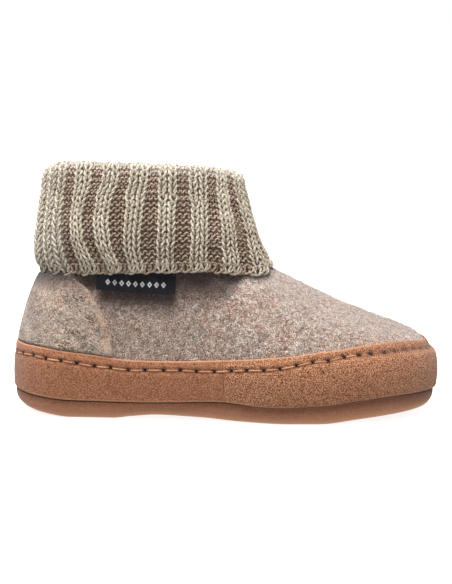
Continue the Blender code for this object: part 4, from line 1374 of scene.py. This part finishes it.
def cuff_outline(angle, z, inset):
    """Outside of the folded-down layer, moved inwards by inset."""
    along = unit(cuff_oval(angle + 0.5, z) - cuff_oval(angle - 0.5, z))
    outward = np.stack((along[..., 1], -along[..., 0]), axis=-1)
    return cuff_oval(angle, z) + outward * np.asarray(inset)[..., None]


def rim_height(angle):
    """Height of the rim, a little higher on the outer side of the foot."""
    across = cuff_oval(angle, CUFF_TURN_Z)[..., 1] / CUFF_LEVELS["half_width"][-1]
    return smooth(CUFF_RIM_Z, "angle", "z", np.abs(angle)) - RIM_TILT * across


print("the rim on the outer side is", round(float(rim_height(90.0)), 1), "mm up")

# %% Ribs around the ankle
walk_angle = np.linspace(180.0, -180.0, 3601)
walk_step = np.diff(cuff_oval(walk_angle, RIB_COUNT_Z), axis=0)
cuff_walk = np.concatenate(([0.0], np.cumsum(np.linalg.norm(walk_step, axis=1))))
CUFF_GIRTH = cuff_walk[-1]
RIB_WIDTH = CUFF_GIRTH / RIBS


def rib_lean(turn, z):
    """How far a rib has slipped forwards at a height, in millimetres."""
    turn = np.mod(turn + RIBS / 2, RIBS) - RIBS / 2
    columns = np.stack([smooth(RIB_LEAN, "turn", height, turn) for height in LEAN_HEIGHTS])
    position = np.interp(z, LEAN_HEIGHTS, np.arange(len(LEAN_HEIGHTS)))
    low = np.clip(np.floor(position).astype(int), 0, len(LEAN_HEIGHTS) - 2)
    part = position - low
    part = part * part * (3 - 2 * part)
    first = np.take_along_axis(columns, low[None], axis=0)[0]
    second = np.take_along_axis(columns, low[None] + 1, axis=0)[0]
    return first * (1 - part) + second * part


def rib_height(turn):
    """1 on a rib, 0 in a valley, with sloping sides."""
    return np.clip(0.5 + 0.75 * np.cos(2 * math.pi * turn), 0.0, 1.0)


STITCH_WIDTH = RIB_WIDTH / WALES_PER_RIB
print("ribs are", round(RIB_WIDTH, 2), "mm wide and a stitch", round(STITCH_WIDTH, 2), "mm")

# %% Where the knit lies
TURN_STEPS, SECTION_STEPS, COURSES = RIBS * 24, 240, 34
table_turn = np.arange(TURN_STEPS + 1) * RIBS / TURN_STEPS - RIBS / 2
shell_tree = BVHTree.FromPolygons([Vector(p) for p in shell_outside.reshape(-1, 3)],
                                  grid_quads(SHELL_ROWS, SHELL_COLUMNS, wrap_columns=True).tolist())


def felt_height(x, y):
    """Height of the felt straight below a point at the cuff's turn."""
    hit = shell_tree.ray_cast(Vector((x, y, CUFF_TURN_Z)), Vector((0.0, 0.0, -1.0)))[0]
    return -100.0 if hit is None else hit.z


def section_ring(angle, z, inset, collar_inset):
    """Points at one height of the inside face, blended from the outline to the collar."""
    part = smooth(CUFF_TO_COLLAR, "z", "part", z)
    collar = collar_oval(angle) - (COLLAR_MIDDLE_X, 0.0)
    reach = np.linalg.norm(collar, axis=-1)
    seat = collar * (1 - collar_inset / reach)[..., None] + (COLLAR_MIDDLE_X, 0.0)
    plan = cuff_outline(angle, z, inset) * (1 - part)[..., None] + seat * part[..., None]
    return np.column_stack((plan, z))


RIB_SPREAD = {
    "turn": (-9.0, -7.5, -6.6, -6.0, -5.4, -4.6, -4.0, -3.4, -2.5, 2.6, 3.2, 4.0, 4.8, 5.4, 9.0),
    "part": (0.15, 0.14, 0.28, 0.70, 0.94, 0.94, 0.70, 0.28, 0.14, 0.16, 0.45, 0.60, 0.45, 0.16,
             0.15),
}
RIB_SPREAD_AT_RIM, RIB_CROWN, RIM_FILL, EDGE_TUCK = 0.50, 0.35, 1.25, 0.9
CUFF_STATIONS = [
    *(("outside", part) for part in np.linspace(0, 1, 17)),
    *(("rim", degrees) for degrees in np.linspace(0, 180, 15)[1:-1]),
    *(("inside", part) for part in np.linspace(0, 1, 15)),
]
FALLING_ANGLES = [-angle for angle in PROFILE["collar_angle"]]
print(len(CUFF_STATIONS), "stations from the lower edge, over the rim, to the collar")


# %% A sheet inside the knit
def spread_turn(turn, at_rim):
    """Where a line of the knit lies once the ribs have spread over their valleys."""
    spread = smooth(RIB_SPREAD, "turn", "part", turn)
    spread = np.maximum(spread, spread + (RIB_SPREAD_AT_RIM - spread) * at_rim)
    return turn + spread * np.sin(2 * math.pi * turn) / (2 * math.pi)


def station_z(kind, value, angle, valley, low_rise, seat_rise):
    """Heights of the sheet's points at one station."""
    if kind == "outside":
        low = smooth(CUFF_LOW_Z, "angle", "z", np.abs(angle)) + low_rise
        return low + (CUFF_TURN_Z - low) * value
    if kind == "rim":
        bend = math.sin(math.radians(value))
        return CUFF_TURN_Z + (rim_height(angle) - valley * bend - CUFF_TURN_Z) * bend
    collar_place = np.interp(-np.abs(angle), FALLING_ANGLES, PROFILE["place"])
    seat = smooth(PROFILE, "place", "collar_z", collar_place) + seat_rise
    return CUFF_TURN_Z + (seat - CUFF_TURN_Z) * value


def cuff_sheet(pattern_turn, deep, low_rise, seat_rise):
    """Lines from the lower edge over the rim to the collar, at a depth inside the knit."""
    start = np.mod(RIB_FIRST + pattern_turn * RIB_WIDTH, CUFF_GIRTH)
    start_angle = np.interp(start, cuff_walk, walk_angle)
    off_rib = 1 - rib_height(pattern_turn)
    crown = RIB_CROWN * (1 - np.cos(2 * math.pi * pattern_turn)) / 2
    base_valley = RIB_DEPTH * off_rib + crown + deep
    levels = []
    for kind, value in CUFF_STATIONS:
        at_rim = {"outside": ease(0.82, 1.0, value), "rim": 1.0, "inside": ease(0.5, 0.1, value)}
        turn = spread_turn(pattern_turn, at_rim[kind])
        valley = base_valley - RIM_FILL * at_rim[kind] * off_rib
        angle = start_angle
        for _ in range(2):
            z = station_z(kind, value, angle, valley, low_rise, seat_rise)
            walked = RIB_FIRST + turn * RIB_WIDTH + rib_lean(turn, z)
            angle = np.interp(np.mod(walked, CUFF_GIRTH), cuff_walk, walk_angle)
        if kind == "outside":
            tucked = EDGE_TUCK * ease(0.16, 0.0, value)
            points = np.column_stack((cuff_outline(angle, z, valley + tucked), z))
            if value == 0.0:
                felt_z = np.array([felt_height(x, y) for x, y, _ in points])
                raised = np.maximum(z, felt_z + CUFF_CLEAR + low_rise) - z
            points[:, 2] += raised * (1 - value) ** 3
        elif kind == "rim":
            turned = math.cos(math.radians(value))
            inset = FOLD / 2 * (1 - turned) + valley * turned
            points = np.column_stack((cuff_outline(angle, CUFF_TURN_Z, inset), z))
        else:
            points = section_ring(angle, z, FOLD - valley, CUFF_LAYER - valley)
        levels.append(points)
    return np.stack(levels, axis=1)


one_line = cuff_sheet(np.zeros(1), 0.0, 0.0, 0.0)[0]
print("a line of the knit runs from", one_line[0].round(1), "to", one_line[-1].round(1))

# %% Fabric table
YARN_DEEP, YARN_FOOT, YARN_SEAT, SOFTEN_ROUNDS = 1.05, 0.55, 0.75, 3
lines = cuff_sheet(table_turn, YARN_DEEP, YARN_FOOT, YARN_SEAT)
walked = np.linalg.norm(np.diff(lines, axis=1), axis=2).cumsum(axis=1)
walked = np.concatenate((np.zeros((len(lines), 1)), walked), axis=1)
even = np.linspace(0.0, 1.0, SECTION_STEPS)
fabric = np.empty((len(lines), SECTION_STEPS, 3))
for number, (line, length) in enumerate(zip(lines, walked)):
    for axis in range(3):
        fabric[number, :, axis] = np.interp(even * length[-1], length, line[:, axis])
for _ in range(SOFTEN_ROUNDS):
    fabric[:, 1:-1] = fabric[:, 1:-1] / 2 + (fabric[:, :-2] + fabric[:, 2:]) / 4
wrapped = np.concatenate((fabric[-3:-1], fabric, fabric[1:3]))
across_slope = (wrapped[3:-1] - wrapped[1:-3])[: len(fabric)]
fabric_normal = unit(np.cross(across_slope, np.gradient(fabric, axis=1)))
LOWEST_COURSE = -0.4
knit_length = walked[:, -1].mean()
course_height = knit_length / (COURSES - LOWEST_COURSE)
print("knit is", knit_length.round(1), "mm long, a course", course_height.round(2))


def on_fabric(turn, course, out):
    """A point of the fabric, a distance out of its face, and the face's direction there."""
    u = np.mod(turn + RIBS / 2, RIBS) / RIBS * TURN_STEPS
    part = (course - LOWEST_COURSE) / (COURSES - LOWEST_COURSE)
    v = np.clip(part, 0.0, 1.0) * (SECTION_STEPS - 1)
    past = part * (SECTION_STEPS - 1) - v
    i, j = np.minimum(u.astype(int), TURN_STEPS - 1), np.minimum(v.astype(int), SECTION_STEPS - 2)
    s, t = (u - i)[..., None], (v - j)[..., None]

    def blend(grid):
        first = grid[i, j] * (1 - s) + grid[i + 1, j] * s
        second = grid[i, j + 1] * (1 - s) + grid[i + 1, j + 1] * s
        return first * (1 - t) + second * t, second - first

    place, along = blend(fabric)
    normal, _ = blend(fabric_normal)
    normal = unit(normal)
    return place + along * past[..., None] + normal * np.asarray(out)[..., None], normal


# %% Yarn loops
YARN_RADIUS, YARN_END = 0.51, 0.9
LOOP = {
    # a knit stitch on a rib, and a purl stitch in a valley; "turn" is the middle of either
    # the last entry of each scales the painted light at the rim
    1.0: {"reach": 1.45, "height": 0.90, "depth": 0.50, "slant": 0.0,
          "turn": 0.0, "radius": YARN_RADIUS, "painted_light": 1.0},
    -1.0: {"reach": 1.15, "height": 0.76, "depth": 0.42, "slant": 0.12,
           "turn": 0.5, "radius": 0.41, "painted_light": 1.3},
}
WALE = 1.0 / WALES_PER_RIB
yarn_rng = np.random.default_rng(61)


def knit_loops(turns, courses, face, rings):
    """Paths of the yarn through pairs of stitches; face is 1 for knit and -1 for purl."""
    turn, course = (grid.ravel()[:, None] for grid in np.meshgrid(turns, courses))
    t = np.linspace(-math.pi - YARN_END, 3 * math.pi + YARN_END, rings)[None, :]
    inner = np.clip(t, -math.pi, 3 * math.pi)
    form = LOOP[face]
    across = (inner + form["reach"] * np.sin(2 * inner) + 0.6 * (t - inner)) / (2 * math.pi)
    count = len(turn)
    jitter = yarn_rng.normal(0.0, 1.0, (4, count, 1))
    ripple = yarn_rng.normal(0.0, 1.0, (2, count, 1))
    height = form["height"] * (1 + 0.05 * jitter[0])
    up = height * np.cos(inner) + form["slant"] * np.sin(2 * inner)
    wander = 0.03 * ripple[0] * np.sin(inner + ripple[1])
    past = np.abs(t - inner) / YARN_END
    out = -face * form["depth"] * np.cos(2 * inner) - 1.5 * past ** 1.2 + 0.06 * jitter[1]
    u = turn + (across - 0.5 + 0.04 * jitter[2]) * WALE
    v = course + up + 0.06 * jitter[3] + wander
    paths, normals = on_fabric(u, v, out)
    return paths, normals, out


print("a knit stitch bulges", LOOP[1.0]["depth"], "mm, a purl stitch", LOOP[-1.0]["depth"], "mm")


# %% Four layers of yarn
def painted_rim_light(points):
    """Painted light: 1 at the top-lit rim, 0 a few millimetres below it, and some on the heel side.
    """
    x, y, z = points[..., 0], points[..., 1], points[..., 2]
    angle = np.degrees(np.arctan2(np.abs(y), x - RIM_MIDDLE_X))
    across = np.clip(y / CUFF_LEVELS["half_width"][-1], -1, 1)
    rim = smooth(CUFF_RIM_Z, "angle", "z", angle) - RIM_TILT * across
    return np.maximum(0.50 * ease(7.0, 0.0, rim - z), 0.18 * ease(-7.0, -20.0, x))


def knit_piece(name, face, courses, material, rings, sides):
    """All the yarn of one colour over a range of courses: knit on ribs, purl between them."""
    form = LOOP[face]
    turns = np.arange(RIBS) - RIBS / 2 + form["turn"]
    paths, normals, out = knit_loops(turns, courses, face, rings)
    radius = form["radius"] * (1 + 0.07 * yarn_rng.normal(0.0, 1.0, (len(paths), 1)))
    points, quads, uvs = make_tubes(paths, normals, radius, sides)
    height = out[:, :, None] + radius[:, :, None] * np.sin(np.arange(sides) * 2 * math.pi / sides)
    low = np.repeat(courses, len(turns)).reshape(-1, 1, 1)
    # The lower courses, on the underside of the cuff's bulge, get more painted shade
    height = height - 0.6 * ease(-1.0, 2.0, low) * ease(9.0, 3.5, low)
    closed = ease(0.80, 0.92, smooth(RIB_SPREAD, "turn", "part", np.tile(turns, len(courses))))
    # Painted light at the rim and on the heel side, which also lessens the painted shade
    painted_light = form["painted_light"] * painted_rim_light(points.reshape(len(paths), -1, 3))
    height = height + 1.2 * painted_light.reshape(height.shape)
    cream = np.repeat(closed * (face < 0), points.shape[0] // len(paths))
    make_piece(name, points, quads, material, "knit", uvs=uvs,
               marks={"height": height, "painted_light": painted_light, "cream": cream})
    return points.reshape(paths.shape[:2] + (sides, 3)), normals


cream_yarn = yarn_material("cream_yarn", ((164, 150, 130), (210, 198, 177), (239, 231, 214)),
                           shade=linear(120, 106, 88))
brown_yarn = yarn_material("brown_yarn", ((116, 95, 80), (184, 160, 140), (228, 207, 187)),
                           shade=linear(90, 73, 60))
OUTER_COURSES = 25
outer, inner = np.arange(OUTER_COURSES), np.arange(OUTER_COURSES, COURSES)
cream_knit = knit_piece("knit_cream_outside", 1.0, outer, cream_yarn, rings=31, sides=6)
brown_knit = knit_piece("knit_brown_outside", -1.0, outer, brown_yarn, rings=27, sides=6)
knit_piece("knit_cream_inside", 1.0, inner, cream_yarn, rings=23, sides=5)
knit_piece("knit_brown_inside", -1.0, inner, brown_yarn, rings=23, sides=5)

# %% [markdown]
# ## Behind and below the loops
#
# Between the loops of a real cuff one looks into the knit, where it lies in shade. More loops
# could close those gaps at the price of many more faces, so one plain tube of rough wool stands
# behind them, coloured dark brown as painted shade, and it is the piece that takes the solid
# cuff's place. The lower edge is bound off: each stitch of the last row is pulled over its
# neighbour. That leaves a row of larger, slanting loops, which here are cream on the ribs and tan
# in the valleys.

# %% Backing behind the loops
core_material, core_tree, core_shader = new_material("dark_backing_painted_shade", 1.0, specular=0.05)
# A dark brown as painted shade seen between the loops
core_colour = add_ramp(core_tree, add_noise(core_tree, 0.8),
                       shades((0.35, 106, 89, 73), (0.65, 144, 125, 106)))
# painted light near the rim and on the heel side
core_colour = add_mix(core_tree, read_mark(core_tree, "painted_light"), core_colour, PAINTED_LIGHT_WOOL)
finish_shader(core_tree, core_shader, core_colour)
CORE_FACE, CORE_BACK, CORE_RISE = 1.45, 2.6, 0.5
core_face, core_back = (
    cuff_sheet(table_turn[:-1], deep, CORE_RISE, CORE_RISE)[::3].transpose(1, 0, 2)
    for deep in (CORE_FACE, CORE_BACK))
core_points = np.concatenate((core_face, core_back[::-1]))
rows, count = core_points.shape[:2]
# painted light on the backing at the rim and on the heel side
at_heel = ease(-6.0, -17.0, core_points[..., 0])
core_painted_light = np.maximum(0.8 * painted_rim_light(core_points), 0.6 * at_heel)
cuff_core = make_piece("cuff_core", core_points, grid_quads(rows, count, True, True),
                       core_material, "knit", marks={"painted_light": core_painted_light})
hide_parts("cuff")

# %% Bind-off along the lower edge
LINK_RINGS, LINK_SIDES, LINK_RADIUS = 22, 7, 0.48
links = RIBS * WALES_PER_RIB
link_turn = ((np.arange(links) + 0.5) * WALE - RIBS / 2)[:, None]
phase = np.linspace(0.0, 2 * math.pi, LINK_RINGS)[None, :]
link_jitter = yarn_rng.normal(0.0, 1.0, (3, links, 1))
link_u = link_turn + WALE * (0.70 * np.cos(phase) + 0.04 * link_jitter[0])
link_v = LOWEST_COURSE + 0.30 + 0.72 * np.sin(phase) + 0.32 * np.cos(phase) + 0.12 * link_jitter[1]
link_out = 0.15 - 0.50 * np.sin(phase) + 0.30 * np.cos(phase) + 0.12 * link_jitter[2]
link_paths, link_normals = on_fabric(link_u, link_v, link_out)
on_rib = rib_height(link_turn[:, 0]) > 0.5
tan_yarn = yarn_material("tan_yarn", ((118, 98, 82), (164, 143, 122), (202, 183, 163)))
for name, chosen, yarn in (("bind_off_cream", on_rib, cream_yarn),
                           ("bind_off_tan", ~on_rib, tan_yarn)):
    link_points, link_quads, link_uvs = make_tubes(
        link_paths[chosen], link_normals[chosen], LINK_RADIUS, LINK_SIDES)
    # The bind-off gets extra painted shade where its yarn reads the height mark
    make_piece(name, link_points, link_quads, yarn, "knit", uvs=link_uvs,
               marks={"height": np.full(len(link_points), -0.2)})

# %% [markdown]
# ## Loose fibres
#
# Wool is never smooth at its outline. Fibres lift off the felt and off the yarn, and they are
# what makes the edge of the shoe look soft against the white. A particle system could grow
# them, but a mesh of tapered ribbons gives the same hairs on every run. Each ribbon is an
# island of its own, so the material can give each hair its own wool colour.


# %% Fibre materials
def fibre_material(name, *rows):
    """Single wool fibres, each with its own tone."""
    material, tree, shader = new_material(name, 0.8, sheen=0.2)
    island = add_node(tree, "ShaderNodeNewGeometry").outputs["Random Per Island"]
    tone = add_sum(tree, (island, 0.85), (add_noise(tree, 1.5, 1.0), 0.15))
    finish_shader(tree, shader, add_ramp(tree, tone, shades(*rows)))
    return material


felt_hair = fibre_material(
    "felt_hair", (0.10, 96, 78, 68), (0.32, 150, 132, 120), (0.55, 184, 168, 154),
    (0.72, 204, 172, 152), (0.88, 236, 228, 216))
yarn_hair = fibre_material(
    "yarn_hair", (0.15, 170, 150, 128), (0.5, 210, 198, 178), (0.85, 240, 234, 220))
# These hairs are coloured paler than the yarn they leave, as painted light on the top-lit rim
rim_hair = fibre_material(
    "rim_hair", (0.15, 206, 194, 176), (0.5, 230, 221, 206), (0.85, 248, 244, 236))
print("fibre nodes:", len(felt_hair.node_tree.nodes))

# %% Fibres on the felt
ROOT_DEPTH = 0.05
hair_rng = np.random.default_rng(71)


def nap(name, grid, normals, count, size, longest, lift, width, slot_name, keep=None):
    """Loose fibres all over a grid of points, their usual length four times size."""
    roots, outward = scatter(grid, normals, count, hair_rng, keep)
    lengths = hair_rng.gamma(4.0, size, count).clip(0.4, longest)
    mesh = make_fibres(roots - ROOT_DEPTH * outward, outward, lengths, lift, width, hair_rng)
    make_piece(name, *mesh, felt_hair, slot_name)


A, R = np.meshgrid(shell_around, shell_rise)
seen = (shell_outside[..., 2] > rand_top(A) + 0.5) & (R < 0.93) & (outside_shade < 0.35)
hair_points, hair_normals, hair_seen = (
    np.concatenate((grid, grid[:, :1]), axis=1) for grid in (shell_outside, shell_normals, seen))
nap("felt_fibres", hair_points, hair_normals, count=20000, size=0.27, longest=2.8,
    lift=(6.0, 72.0), width=0.12, slot_name="felt", keep=hair_seen)
nap("counter_fibres", counter_outer, felt_normal(counter_around, counter_rise), count=4000,
    size=0.26, longest=2.4, lift=(3.0, 48.0), width=0.08, slot_name="counter_felt")


# %% Fibres on the yarn
HALO_FROM = 0.29


def fuzz(name, knit, count, material, rim_only=False):
    """Hairs that leave the yarn near its outermost side, or near the rim alone."""
    points, normals = knit
    tube = hair_rng.integers(0, points.shape[0], count)
    ring = hair_rng.integers(2, points.shape[1] - 2, count)
    middle = points[tube, ring].mean(axis=1)
    facing = normals[tube, ring]
    if rim_only:
        keep = painted_rim_light(middle) > HALO_FROM
        middle, facing = middle[keep], facing[keep]
        count = len(middle)
    spread = unit(facing + 0.8 * unit(hair_rng.normal(size=(count, 3))))
    lengths = hair_rng.gamma(3.0, 0.42, count).clip(0.5, 3.2)
    roots = middle + spread * (YARN_RADIUS - 0.04)
    mesh = make_fibres(roots, spread, lengths, (5.0, 60.0), 0.06, hair_rng)
    make_piece(name, *mesh, material, "knit")


fuzz("cream_fuzz", cream_knit, 9000, yarn_hair)
fuzz("brown_fuzz", brown_knit, 3500, felt_hair)
fuzz("cream_halo", cream_knit, 56000, rim_hair, rim_only=True)
fuzz("brown_halo", brown_knit, 36000, rim_hair, rim_only=True)
